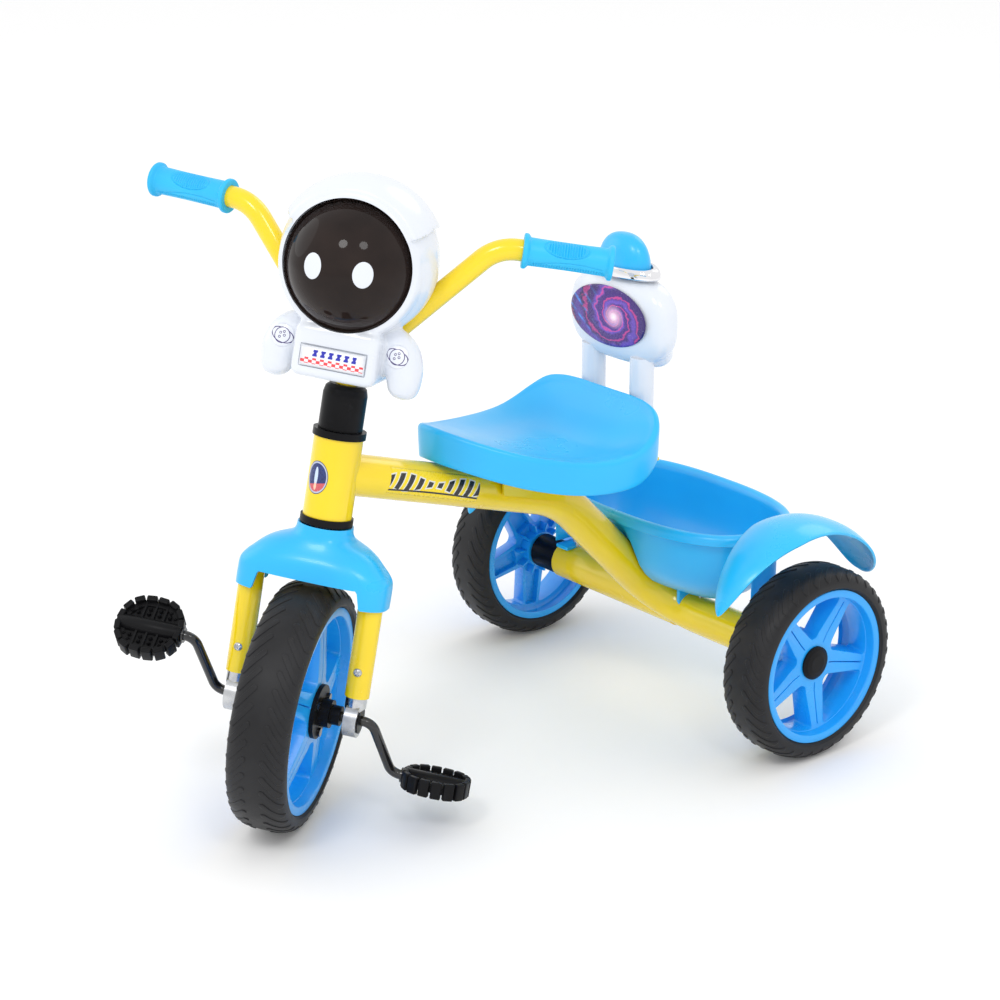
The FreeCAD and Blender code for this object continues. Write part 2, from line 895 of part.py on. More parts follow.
def forkCrown():
    forward = size("ForkOffset")
    low = size("LegTop")
    high = low + size("CrownThick")
    half = size("CrownHalf")
    shape = block((-half, -forward - 11, low), (half, size("CrownBack"), high))
    shaped("fork_crown", shape, steerPlace())
    length = "SteererTop - LegTop - CrownThick"
    tube("steerer_tube", "SteererRadius", "StemRadius", length, place(z=high), steerPlace())


def coverOutline(inset, drop):
    """half of the cover's front outline, mirrored; inset is the wall, drop opens the bottom"""
    right = [
        (f"CoverArchHalf + {inset}", f"CoverBottom - {drop}"),
        (f"CoverArchHalf - 3 + {inset}", f"CoverArchTop - 5 + {inset}"),
        (f"CoverArchHalf - 13 + {inset} * 0.5", f"CoverArchTop + {inset}"),
    ]
    outer = [
        (f"CoverHalf - {inset}", f"CoverBottom - {drop}"),
        (f"CoverHalf - {inset}", f"CoverShoulder - {inset} * 0.4"),
        (f"CoverHalf - 9 - {inset} * 0.8", f"CoverTop - 16 - {inset} * 0.8"),
        (f"CoverHalf - 31 - {inset} * 0.5", f"CoverTop - 4 - {inset}"),
        (f"CoverHalf - 43 - {inset} * 0.3", f"CoverTop - {inset}"),
    ]
    side = list(reversed(right)) + outer
    mirrored = [(f"0 - ({across})", up) for across, up in reversed(side)]
    return side + mirrored


def forkCover():
    body = doc.addObject("PartDesign::Body", "fork_cover")
    sketch = outline(body, "XZ_Plane", coverOutline("0", "0"), "cover_outline")
    padded(body, sketch, "CoverFront + CoverBack", "cover_pad")
    cavity = outline(body, "XZ_Plane", coverOutline("CoverWall", "1"), "cover_cavity")
    padded(body, cavity, "CoverFront + CoverBack - 2 * CoverWall", "cover_pocket", "Pocket")
    shift = size("CoverFront + CoverBack") / 2 - size("CoverFront")
    top = [
        ("0", "CoverTop - 6"),
        ("SteererRadius + FaceGap", "CoverTop - 6"),
        ("SteererRadius + FaceGap", "CoverTop + 1"),
        ("0", "CoverTop + 1"),
    ]
    hole = outline(body, "XZ_Plane", top, "cover_hole")
    hole.AttachmentOffset = place(z=shift)
    groove = body.newObject("PartDesign::Groove", "cover_steerer_hole")
    groove.Profile = hole
    groove.ReferenceAxis = (hole, ["V_Axis"])
    groove.Angle = 360
    keep(body, "fork_cover", steerPlace() * place(y=shift))


# ---- stem and handlebar ----

def gripDirection():
    sweep = math.radians(size("BarSweep"))
    lift = math.radians(size("BarLift"))
    return Vector(math.cos(sweep) * math.cos(lift), math.sin(sweep) * math.cos(lift), math.sin(lift))


def gripPoint(distance):
    elbow = Vector(size("BarElbowAcross"), size("BarElbowBack"), size("BarElbowUp"))
    return elbow + gripDirection() * distance


def barSolid(radius):
    end = gripPoint(size("GripStart + GripLength - GripFlangeThick"))
    elbow = gripPoint(0)
    middle = size("BarMiddleHalf")
    up = size("BarMiddleUp")
    left = [tuple(end), tuple(elbow), (middle, 0, up)]
    right = [(-x, y, z) for x, y, z in reversed(left)]
    return bentRod(left + right, [40, 30, 30, 40], radius)


def handlebar():
    shape = barSolid(size("BarRadius")).cut(barSolid(size("BarRadius - TubeWall")))
    shaped("handlebar", shape, steerPlace())
    low = size("StemBottom")
    stem = rod((0, 0, low), (0, 0, size("BarMiddleUp")), size("StemRadius"))
    stem = stem.cut(rod((0, 0, low), (0, 0, size("BarMiddleUp")), size("StemRadius - 2")))
    stem = largest(stem.cut(barSolid(size("BarRadius"))))
    shaped("stem", stem, steerPlace())
    base = place(z=size("HeadTop + CupLip + 8"))
    tube("stem_clamp", "ClampRadius", "SteererRadius", "ClampLength", base, steerPlace())


def stemBoot():
    base = "HeadTop + CupLip + FaceGap"
    profile = [
        ("BootRadius - Wall", base),
        ("BootRadius", base),
        ("BootRadius", "BootTop - 9"),
        ("BootRadius - 1.5", "BootTop - 3"),
        ("BootRadius - 5", "BootTop"),
        ("StemRadius", "BootTop"),
        ("StemRadius", "BootTop - Wall"),
        ("BootRadius - 6", "BootTop - Wall"),
        ("BootRadius - Wall", "BootTop - 9"),
    ]
    turned("stem_boot", profile, steerPlace(), "Z")


def grips():
    profile = [
        ("BarRadius", "0"),
        ("GripFlange", "0"),
        ("GripFlange", "GripFlangeThick"),
        ("GripRadius", "GripFlangeThick + 2"),
        ("GripRadius", "GripLength - GripFlangeThick - 2"),
        ("GripFlange", "GripLength - GripFlangeThick"),
        ("GripFlange", "GripLength - 1"),
        ("GripFlange - 1", "GripLength"),
        ("0", "GripLength"),
        ("0", "GripLength - GripFlangeThick"),
        ("BarRadius", "GripLength - GripFlangeThick"),
    ]
    start = gripPoint(size("GripStart"))
    ahead = gripDirection()
    for name, side in (("left", 1), ("right", -1)):
        turn = Rotation(Vector(0, 0, 1), Vector(side * ahead.x, ahead.y, ahead.z))
        where = steerPlace() * Placement(Vector(side * start.x, start.y, start.z), turn)
        turned(f"grip_{name}", profile, where, "Z")


# ---- helmet lamp ----

def capsule(start, end, radius):
    ends = [Part.makeSphere(radius, Vector(*point)) for point in (start, end)]
    return rod(start, end, radius).fuse(ends)


def helmetSolid(inset):
    """head, body and arms of the lamp as one solid, drawn in by the wall"""
    centre = Vector(0, -size("HelmetForward"), size("HelmetUp"))
    head = Part.makeSphere(size("HelmetRadius") - inset, centre)
    flat = size("HelmetFlat") - inset
    head = head.common(block((-90, -100, 300), (90, flat, 500)))
    half = size("BodyHalf") - inset
    low = size("BodyBottom") + inset
    high = size("BodyTop") - inset
    torso = block((-half, inset - size("BodyFront"), low), (half, size("BodyBack") - inset, high))
    torso = torso.makeFillet(8 - inset, torso.Edges)
    solid = head.fuse(torso)
    across = size("BodyHalf")
    radius = size("ArmRadius") - inset
    for side in (1, -1):
        top = (side * (across + 22), -28, low - inset + 57)
        bottom = (side * (across + 14), -31, low - inset + 12.5)
        solid = solid.fuse(capsule(top, bottom, radius))
    return solid


def buttonHole():
    up = size("ButtonUp")
    flat = size("HelmetFlat")
    return rod((0, flat - 6, up), (0, flat + 6, up), size("ButtonRadius") + 0.3)


def helmetShells():
    shell = helmetSolid(0).cut(helmetSolid(size("Wall")))
    face = -size("VisorFace")
    opening = rod((0, face - 60, size("VisorUp")), (0, face, size("VisorUp")), size("BezelRadius") + 0.2)
    stem = rod((0, 0, 280), (0, 0, size("BarMiddleUp")), size("StemRadius + BarClearance"))
    shell = shell.cut([opening, stem, barSolid(size("BarRadius + BarClearance")), buttonHole()])
    for screw in helmetScrewSolids():
        shell = shell.cut(screw)
    front = shell.common(block((-120, -120, 280), (120, 0, 500)))
    rear = shell.common(block((-120, 0, 280), (120, 120, 500)))
    shaped("helmet_front_shell", largest(front), steerPlace())
    shaped("helmet_rear_shell", largest(rear), steerPlace())


def helmetScrewSolids():
    back = size("BodyBack")
    up = size("BodyBottom") + 13
    solids = []
    for side in (1, -1):
        x = side * 26
        shank = rod((x, back - 9, up), (x, back, up), size("ScrewRadius"))
        head = rod((x, back, up), (x, back + size("ScrewHeadHeight"), up), size("ScrewHeadRadius"))
        solids.append(shank.fuse(head))
    return solids


def visor():
    up = size("VisorUp")
    where = steerPlace() * place(z=up)
    bezel = [
        ("DomeRadius", "0 - VisorFace"),
        ("BezelRadius", "0 - VisorFace"),
        ("BezelRadius", "1.5 - VisorFace - BezelDepth"),
        ("BezelRadius - 2", "0 - VisorFace - BezelDepth"),
        ("DomeRadius", "0 - VisorFace - BezelDepth"),
    ]
    turned("visor_bezel", bezel, where, "Y")
    base = size("VisorFace")
    tall = size("DomeHeight")
    wide = size("DomeRadius")
    ball = (wide * wide + tall * tall) / (2 * tall)
    apex = base + size("BezelDepth") - 2 + tall
    centre = Vector(0, ball - apex, 0)
    cap = block((-80, -120, -80), (80, tall - apex, 80))
    dome = Part.makeSphere(ball, centre).common(cap)
    dome = dome.cut(Part.makeSphere(ball - size("DomeWall"), centre))
    shaped("visor_dome", largest(dome), where)
    board = rod((0, -base, 0), (0, -base + 3, 0), wide - 1)
    for x in (-16, 0, 16):
        board = board.fuse(rod((x, -base - 5, 14), (x, -base, 14), 2.5))
    shaped("lamp_board", board.common(Part.makeSphere(66, Vector(0, -20, 0))), where)


def lampBack():
    flat = size("HelmetFlat")
    door = [
        ("0 - DoorWidth / 2", "DoorUp - DoorHeight / 2"),
        ("DoorWidth / 2", "DoorUp - DoorHeight / 2"),
        ("DoorWidth / 2", "DoorUp + DoorHeight / 2"),
        ("0 - DoorWidth / 2", "DoorUp + DoorHeight / 2"),
    ]
    where = steerPlace() * place(y=flat + size("DoorThick") / 2)
    plate("battery_door", "XZ_Plane", door, "DoorThick", where)
    case = box("battery_case", "DoorWidth + 12", "24", "DoorHeight + 6", Placement())
    low = size("DoorUp - DoorHeight / 2") - 3
    keep(case, "battery_case", steerPlace() * place(x=-size("DoorWidth") / 2 - 6, y=flat - 28, z=low))
    button = cylinder("lamp_button", "ButtonRadius", "ButtonProud + 5")
    turn = Rotation(Vector(1, 0, 0), -90)
    keep(button, "lamp_button", steerPlace() * Placement(Vector(0, flat - 5, size("ButtonUp")), turn))
    corners = [
        ("0 - PlateWidth / 2", "PlateUp - PlateHeight / 2"),
        ("PlateWidth / 2", "PlateUp - PlateHeight / 2"),
        ("PlateWidth / 2", "PlateUp + PlateHeight / 2"),
        ("0 - PlateWidth / 2", "PlateUp + PlateHeight / 2"),
    ]
    where = steerPlace() * place(y=-size("BodyFront") - size("PlateThick") / 2)
    plate("label_plate", "XZ_Plane", corners, "PlateThick", where)
    group("helmet_screws", helmetScrewSolids(), steerPlace())


# ---- seat ----

def seatShare(share):
    """Y at a share of the seat's length, from nose to rear"""
    nose = -size("SeatNose")
    return nose + share * (size("SeatNose") - size("SeatRear"))


def seatPlan(inset):
    """seen from above: a rounded nose that widens to the hips"""
    half = size("SeatHalf")
    stations = ((0.06, 0.26), (0.19, 0.52), (0.37, 0.79), (0.57, 0.95), (0.77, 1.0), (0.92, 0.94), (0.985, 0.78))
    right = [(share_x * half - inset, seatShare(share)) for share, share_x in stations]
    outline = [(0, seatShare(0) + inset, 0)]
    outline += [(x, y, 0) for x, y in right]
    outline += [(0.45 * half, seatShare(1) - inset, 0), (0, seatShare(1) - inset, 0)]
    outline += [(-0.45 * half, seatShare(1) - inset, 0)]
    outline += [(-x, y, 0) for x, y in reversed(right)]
    return closedCurve(outline)


def seatProfile(drop, depth):
    """side view: raised nose, dip where the rider sits, raised rear rim"""
    heights = ((-0.1, 62), (0.0, 58), (0.25, 35), (0.5, 22), (0.75, 20), (0.9, 34), (1.0, 52), (1.1, 66))
    base = size("SeatMountUp")
    points = [Vector(0, seatShare(share), base + height - drop) for share, height in heights]
    top = Part.BSplineCurve()
    top.interpolate(points)
    lower = [point - Vector(0, 0, depth) for point in reversed(points)]
    bottom = Part.BSplineCurve()
    bottom.interpolate(lower)
    ends = [Part.LineSegment(points[-1], lower[0]), Part.LineSegment(lower[-1], points[0])]
    return Part.Face(Part.Wire([top.toShape(), ends[0].toShape(), bottom.toShape(), ends[1].toShape()]))


def seatSolid(inset, depth):
    reach = size("SeatHalf") + 20
    across = seatProfile(inset, depth).extrude(Vector(2 * reach, 0, 0))
    across.translate(Vector(-reach, 0, 0))
    plan = seatPlan(inset)
    plan.translate(Vector(0, 0, 150))
    return across.common(plan.extrude(Vector(0, 0, 300)))


def seatBoss():
    half = size("SeatMountHalf")
    low = size("SeatMountUp")
    front = -size("SeatMountFront")
    back = -size("SeatMountBack")
    return block((-half, front, low), (half, back, low + 60))


def seatBoltShanks():
    low = size("SeatMountUp") - 3
    last = -size("SeatMountBack") - 12
    return [rod((0, y, low), (0, y, low + 11), 3) for y in (last - 32, last)]


def seat():
    outer = seatSolid(0, size("SeatSkirt"))
    inner = seatSolid(size("Wall"), size("SeatSkirt") + 40)
    shell = largest(outer.cut(inner))
    boss = seatBoss().common(seatSolid(size("Wall") / 2, 80))
    shape = shell.fuse(boss).cut(mainTubeSolid(size("TubeRadius")))
    for shank in seatBoltShanks():
        shape = shape.cut(shank)
    shaped("seat", shape.removeSplitter(), framePlace())


def seatBracket():
    half = size("SeatMountHalf")
    top = size("SeatMountUp")
    front = -size("SeatMountFront")
    back = -size("SeatMountBack")
    shape = block((-half, front, top - 50), (half, back, top))
    shape = shape.cut(block((size("Wall") - half, front, top - 60), (half - size("Wall"), back, top - 3)))
    shape = shape.cut(mainTubeSolid(size("TubeRadius")))
    slope = math.tan(math.radians(size("MainTubeSlope")))
    line = mainTubePoints()[0]
    low = [Vector(-half, y, line[2] - (y - line[1]) * slope) for y in (front, back)]
    under = Part.makePolygon([low[0], low[1], low[1] - Vector(0, 0, 60), low[0] - Vector(0, 0, 60), low[0]])
    shape = shape.cut(Part.Face(under).extrude(Vector(2 * half, 0, 0)))
    for shank in seatBoltShanks():
        shape = shape.cut(shank)
    shaped("seat_bracket", largest(shape), framePlace())
    heads = []
    for shank in seatBoltShanks():
        middle = shank.BoundBox.Center
        low = top - 3 - size("ScrewHeadHeight")
        clear = rod((0, middle.y, low), (0, middle.y, top - 3), 5)
        rest = rod((0, middle.y, top - 3), (0, middle.y, top + 8), 3)
        heads.append(clear.fuse(rest))
    group("seat_bolts", heads, framePlace())


# ---- backrest ----

def backrestBracket():
    high = size("SeatMountUp - BracketDrop + BracketThick")
    low = high - size("BracketThick")
    half = size("BracketHalf")
    shape = block((-half, -size("SeatMountBack"), low), (half, -size("PostForward - PostRadius"), high))
    shaped("backrest_bracket", shape, framePlace())
    posts = []
    for side in (1, -1):
        x = side * size("PostAcross")
        y = -size("PostForward")
        posts.append(rod((x, y, high), (x, y, size("PostTop")), size("PostRadius")))
    group("backrest_posts", posts, framePlace())


def backrestSolid(inset):
    half = size("BackHalf") - inset
    middle = -size("BackForward")
    reach = size("BackThick") / 2 - inset
    low = size("BackBottom") + inset
    high = size("BackTop") - inset
    pillow = block((-half, middle - reach, low), (half, middle + reach, high))
    along = [e for e in pillow.Edges if abs(e.tangentAt(e.FirstParameter).y) > 0.9]
    pillow = pillow.makeFillet(34 - inset, along)
    rest = [e for e in pillow.Edges if abs(abs(e.BoundBox.Center.y - middle) - reach) < 0.01]
    pillow = pillow.makeFillet(12 - inset, rest)
    for side in (1, -1):
        x = side * size("PostAcross")
        bottom = size("LobeBottom") + inset
        pillow = pillow.fuse(rod((x, middle, bottom), (x, middle, bottom + 30), size("LobeRadius") - inset))
    return pillow


def backrest():
    middle = -size("BackForward")
    shell = backrestSolid(0).cut(backrestSolid(size("Wall")))
    for side in (1, -1):
        x = side * size("PostAcross")
        y = -size("PostForward")
        shell = shell.cut(rod((x, y, 300), (x, y, size("PostTop")), size("PostRadius")))
    front = shell.common(block((-120, middle - 60, 300), (120, middle, 500)))
    rear = shell.common(block((-120, middle, 300), (120, middle + 60, 500)))
    shaped("backrest_front_shell", largest(front), framePlace())
    shaped("backrest_rear_shell", largest(rear), framePlace())
    badgeAndKnob(middle)


def ellipse(across, along, low, high):
    """upright elliptical block about the Z axis"""
    curve = Part.Ellipse(Vector(0, 0, low), across, along)
    return Part.Face(Part.Wire(curve.toShape())).extrude(Vector(0, 0, high - low))


def badgeAndKnob(middle):
    face = middle - size("BackThick") / 2
    badge = ellipse(size("BadgeHalfWidth"), size("BadgeHalfHeight"), 0, 1.0)
    badge.rotate(Vector(0, 0, 0), Vector(1, 0, 0), 90)
    badge.translate(Vector(0, face, size("BadgeUp")))
    shaped("backrest_badge", badge, framePlace())
    base = size("BackTop")
    top = base + size("CollarHeight")
    collar = ellipse(size("CollarHalf"), size("CollarDepth"), base, top)
    knobHole = ellipse(size("KnobHalf"), size("KnobDepth"), base, top)
    collar = collar.cut(knobHole)
    collar.translate(Vector(0, middle, 0))
    shaped("backrest_collar", collar, framePlace())
    tall = size("KnobTop") - top
    dome = Part.makeSphere(size("KnobHalf"), Vector(0, 0, 0)).common(block((-50, -50, 0), (50, 50, 50)))
    dome = squeezed(dome, 1.0, size("KnobDepth / KnobHalf"), tall / size("KnobHalf"))
    dome.translate(Vector(0, 0, top))
    knob = dome.fuse(ellipse(size("KnobHalf"), size("KnobDepth"), base, top))
    knob.translate(Vector(0, middle, 0))
    shaped("backrest_knob", knob, framePlace())


# ---- basket and mudguards ----

def tubSolid(inset, rim):
    """oval tub, turned about Z and then narrowed from front to back; rim is its top"""
    wide = size("BasketHalf - BasketLip") - inset
    low = size("BasketBottom") + inset
    foot = wide - size("BasketTaper")
    round_ = size("BasketRound") - inset
    steps = 6
    points = [(0, 0, low)]
    for n in range(steps + 1):
        angle = math.radians(90 * n / steps)
        points.append((foot - round_ + round_ * math.sin(angle), 0, low + round_ * (1 - math.cos(angle))))
    points.append((wide, 0, rim))
    points.append((0, 0, rim))
    solid = squeezed(spun(points), 1.0, (size("BasketDepth - BasketLip") - inset) / wide)
    solid.translate(Vector(0, size("BasketBack"), 0))
    return solid


def basket():
    rim = size("BasketRimUp")
    lipLow = rim - size("BasketLipTall")
    gap = size("TubeChannel")
    outside = tubSolid(0, rim)
    lip = ellipse(size("BasketHalf"), size("BasketDepth"), lipLow, rim)
    lip.translate(Vector(0, size("BasketBack"), 0))
    inside = tubSolid(size("Wall"), rim + 1)
    inside = inside.cut(mainTubeSolid(size("TubeRadius") + gap + size("Wall")))
    shape = outside.fuse(lip).cut(mainTubeSolid(size("TubeRadius") + gap)).cut(inside)
    for side in (1, -1):
        low = side * size("RibAcross") - size("RibThick") / 2
        rib = block((low, -24, size("BasketBottom") - 17), (low + size("RibThick"), 28, size("BasketBottom") + 1))
        shape = shape.fuse(rib)
    up = size("RearRadius")
    reach = size("AxleTubeHalf")
    shape = shape.cut(rod((-reach, 0, up), (reach, 0, up), size("TubeRadius")))
    shape = shape.cut(mainTubeSolid(size("TubeRadius")))
    for shank in frameScrewShanks():
        shape = shape.cut(shank)
    shaped("basket", largest(shape), framePlace())


def guardSection(extra):
    """crowned band, turned about an axis above the rear axle"""
    inner = size("GuardInner") - 8
    outer = size("GuardOuter")
    middle = (inner + outer) / 2
    radius = size("GuardRadius") + extra
    crown = size("GuardCrown")
    stations = [(inner, 0), ((inner + middle) / 2, 0.75), (middle, 1), ((middle + outer) / 2, 0.75), (outer, 0)]
    rim = [Vector(x, 0, radius + crown * share) for x, share in stations]
    corners = [Vector(inner, 0, 0)] + rim + [Vector(outer, 0, 0)]
    face = Part.Face(Part.makePolygon(corners + corners[:1]))
    return face.revolve(Vector(0, 0, 0), Vector(1, 0, 0), 360)


def guardPlan():
    """seen from above: pointed in front, rounded behind, with a tab over the leg"""
    inner = size("GuardInner")
    outer = size("GuardOuter")
    radius = size("GuardRadius")
    middle = (inner + outer) / 2 + 2
    shares = [
        (middle, -0.97),
        (inner + 8, -0.78),
        (inner, -0.45),
        (inner, 0.0),
        (inner, 0.5),
        (inner + 9, 0.82),
        (middle, 0.93),
        (outer - 8, 0.84),
        (outer, 0.5),
        (outer, 0.0),
        (outer - 3, -0.5),
        (outer - 13, -0.8),
    ]
    return closedCurve([(x, share * radius, 0) for x, share in shares])


def mudguard(label, side):
    over = size("GuardOver")
    up = size("RearRadius")
    band = guardSection(size("Wall")).cut(guardSection(0))
    plan = guardPlan().extrude(Vector(0, 0, 300))
    tab = block((size("GuardLeg"), -24, 0), (size("GuardInner") + 4, 24, 300))
    shape = band.common(plan.fuse(tab))
    shape.translate(Vector(0, 0, up + over))
    leg = block((size("GuardLeg"), -24, up), (size("GuardLeg") + 3, 24, up + over + size("GuardRadius")))
    foot = block((size("GuardFoot"), -12, up), (size("GuardLeg") + 3, 12, size("BasketBottom + Wall")))
    shape = shape.fuse([leg, foot])
    shape = shape.cut(rod((0, 0, up), (size("AxleTubeHalf"), 0, up), size("TubeRadius")))
    shape = shape.cut(rod((0, 0, up), (size("AxleTubeHalf"), 0, up - 0.001), size("TubeRadius")))
    shape = largest(shape)
    if side < 0:
        shape = shape.mirror(Vector(0, 0, 0), Vector(1, 0, 0))
    for shank in frameScrewShanks():
        shape = shape.cut(shank)
    shaped(label, largest(shape), framePlace())


# ---- the whole tricycle ----

def build():
    fillSheet()
    mainTube()
    axleTubeRight()
    headTube()
    rearAxle()
    frameScrews()
    seat()
    seatBracket()
    backrestBracket()
    backrest()
    basket()
    mudguard("mudguard_left", 1)
    mudguard("mudguard_right", -1)
    forkLegs()
    forkEyes()
    forkCrown()
    forkCover()
    handlebar()
    stemBoot()
    grips()
    helmetShells()
    visor()
    lampBack()
    frontWheel()
    hubFlanges()
    hubBolts()
    crank()
    pedalWashers()
    pedal("pedal_left", 1, "PedalTiltLeft")
    pedal("pedal_right", -1, "PedalTiltRight")
    rearWheel("left", 1)
    rearWheel("right", -1)
    doc.recompute()


def check():
    for item in doc.Objects:
        if "Invalid" in item.State or "Error" in item.State:
            raise RuntimeError(f"{item.Label} failed: {item.State}")
    for item in pieces:
        if item.Shape.isNull() or not item.Shape.isValid() or not item.Shape.Solids:
            raise RuntimeError(f"{item.Label} has no valid shape")


def export():
    os.makedirs("parts", exist_ok=True)
    for item in pieces:
        item.Shape.exportStep(f"parts/{item.Label}.step")
    print(len(pieces), "pieces written")


build()
check()
export()
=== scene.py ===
import json
import math

import bmesh
import bpy
from mathutils import Matrix, Vector


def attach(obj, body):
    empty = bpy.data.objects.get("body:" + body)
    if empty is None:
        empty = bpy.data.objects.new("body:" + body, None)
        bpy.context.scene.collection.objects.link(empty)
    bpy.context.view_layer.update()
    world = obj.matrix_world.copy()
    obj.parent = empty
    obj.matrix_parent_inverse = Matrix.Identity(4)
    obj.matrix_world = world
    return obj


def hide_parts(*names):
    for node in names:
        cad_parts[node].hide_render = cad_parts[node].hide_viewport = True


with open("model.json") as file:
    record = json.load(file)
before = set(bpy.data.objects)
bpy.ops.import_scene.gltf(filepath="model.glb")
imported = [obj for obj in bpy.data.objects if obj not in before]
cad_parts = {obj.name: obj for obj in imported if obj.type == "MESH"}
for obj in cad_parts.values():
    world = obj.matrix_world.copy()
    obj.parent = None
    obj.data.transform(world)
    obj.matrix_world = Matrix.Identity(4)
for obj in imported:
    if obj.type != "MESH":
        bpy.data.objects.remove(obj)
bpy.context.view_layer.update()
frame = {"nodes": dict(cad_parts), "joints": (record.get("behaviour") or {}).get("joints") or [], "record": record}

nodes = frame["nodes"]
joints = {joint["name"]: joint for joint in frame["joints"]}
mm = 0.001  # pieces are drawn in millimetres and placed in metres
fullTurn = 2 * math.pi


# where things are

def placeFrom(origin, across, up):
    x = Vector(across).normalized()
    z = Vector(up)
    z = (z - x * z.dot(x)).normalized()
    place = Matrix((x, z.cross(x), z)).transposed().to_4x4()
    place.translation = Vector(origin)
    return place


def jointPlace(name, up):
    return placeFrom(joints[name]["pos_m"], joints[name]["axis"], up)


stemAxis = joints["steer"]["axis"]
# x is the rider's left, y the back, z up along the stem, all turned with the handlebar
steered = placeFrom(joints["steer"]["pos_m"], joints["front_wheel_spin"]["axis"], stemAxis)
frontHub = jointPlace("front_wheel_spin", stemAxis)
rearHub = {side: jointPlace(f"{side}_rear_wheel_spin", (0, 0, 1)) for side in ("left", "right")}
rearAxle = Matrix.Translation((0, rearHub["left"].translation.y, 0))  # y is measured from the axle


# making meshes

def makeObject(name, points, faces, where=None):
    where = where or Matrix()
    mesh = bpy.data.meshes.new(name)
    mesh.from_pydata([where @ (Vector(point) * mm) for point in points], [], faces)
    mesh.polygons.foreach_set("use_smooth", [True] * len(mesh.polygons))
    piece = bpy.data.objects.new(name, mesh)
    bpy.context.scene.collection.objects.link(piece)
    return piece


def keepResult(piece):
    # the modifiers' result becomes the plain mesh
    bpy.context.view_layer.update()
    graph = bpy.context.evaluated_depsgraph_get()
    mesh = bpy.data.meshes.new_from_object(piece.evaluated_get(graph), depsgraph=graph)
    piece.modifiers.clear()
    piece.data = mesh
    return piece


def sharpen(piece, degrees):
    piece.data.set_sharp_from_angle(angle=math.radians(degrees))


def settle(piece, crease=None):
    # keeps the result, smooth up to the crease angle
    keepResult(piece)
    faceOutward(piece)
    piece.data.polygons.foreach_set("use_smooth", [True] * len(piece.data.polygons))
    if crease:
        sharpen(piece, crease)
    return piece


def faceOutward(piece, merge=0.0):
    # merge joins doubled points first, in metres
    work = bmesh.new()
    work.from_mesh(piece.data)
    if merge:
        bmesh.ops.remove_doubles(work, verts=work.verts, dist=merge)
    bmesh.ops.recalc_face_normals(work, faces=work.faces)
    work.to_mesh(piece.data)
    work.free()


def modifier(piece, kind, **settings):
    added = piece.modifiers.new(kind.title(), kind)
    for key, value in settings.items():
        setattr(added, key, value)
    return added


def weld(pieces, name):
    # several objects become one, each keeping its materials
    graph = bpy.context.evaluated_depsgraph_get()
    joined = bpy.data.meshes.new(name)
    work = bmesh.new()
    materials = []
    for piece in pieces:
        mesh = bpy.data.meshes.new_from_object(piece.evaluated_get(graph), depsgraph=graph)
        mesh.transform(piece.matrix_world)
        start = len(work.faces)
        work.from_mesh(mesh)
        work.faces.ensure_lookup_table()
        for face in work.faces[start:]:
            material = mesh.materials[face.material_index] if mesh.materials else None
            if material not in materials:
                materials.append(material)
            face.material_index = materials.index(material)
    work.to_mesh(joined)
    work.free()
    for material in materials:
        joined.materials.append(material)
    for piece in pieces:
        bpy.data.objects.remove(piece)
    result = bpy.data.objects.new(name, joined)
    bpy.context.scene.collection.objects.link(result)
    return result


def mount(piece, body, slotName, replaced=(), material=None):
    piece.data.materials.clear()
    piece.data.materials.append(material or finished[slotName])
    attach(piece, body)
    if replaced:
        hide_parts(*replaced)
    print("made", piece.name, len(piece.data.polygons), "faces")
    return piece


def ringFaces(rows, columns, wrapRows=False, wrapColumns=True):
    faces = []
    for row in range(rows if wrapRows else rows - 1):
        for column in range(columns if wrapColumns else columns - 1):
            nextRow, nextColumn = (row + 1) % rows, (column + 1) % columns
            faces.append((
                row * columns + column,
                row * columns + nextColumn,
                nextRow * columns + nextColumn,
                nextRow * columns + column,
            ))
    return faces


def bridge(first, second, count, closed=True):
    # faces between two rows of points, given by their first numbers
    return [(first + n, first + (n + 1) % count, second + (n + 1) % count, second + n)
            for n in range(count if closed else count - 1)]


def fan(ring, pole, count):
    return [(ring + n, ring + (n + 1) % count, pole) for n in range(count)]


def turned(name, profile, spotAt, where, steps, closed):
    # profile is a list of (along the axis, radius); closed joins its ends
    points = [spotAt(along, r, fullTurn * step / steps) for step in range(steps) for along, r in profile]
    faces = ringFaces(steps, len(profile), wrapRows=True, wrapColumns=closed)
    return makeObject(name, points, faces, where)


def turnAboutX(name, profile, where, steps=96, closed=True):
    return turned(name, profile, lambda x, r, turn: (x, -r * math.cos(turn), r * math.sin(turn)),
                  where, steps, closed)


def turnAboutY(name, profile, up, steps=128, where=None):
    # about a line along Y at the height up, with its poles merged
    made = turned(name, profile, lambda y, r, turn: (r * math.cos(turn), y, up + r * math.sin(turn)),
                  where, steps, False)
    faceOutward(made, 0.000005)
    return made


def turnAboutZ(name, profile, where, steps=96, closed=False):
    return turned(name, profile, lambda z, r, turn: (r * math.cos(turn), r * math.sin(turn), z),
                  where, steps, closed)


def smoothPath(points, share=8):
    # Catmull-Rom through the points
    line = [Vector(p) for p in points]
    line = [line[0] * 2 - line[1]] + line + [line[-1] * 2 - line[-2]]
    result = []
    for a, b, c, d in zip(line, line[1:], line[2:], line[3:]):
        for step in range(share):
            t = step / share
            result.append(0.5 * (b * 2 + (c - a) * t + (a * 2 - b * 5 + c * 4 - d) * t * t
                                 + (b * 3 - a - c * 3 + d) * t ** 3))
    result.append(line[-2])
    return result


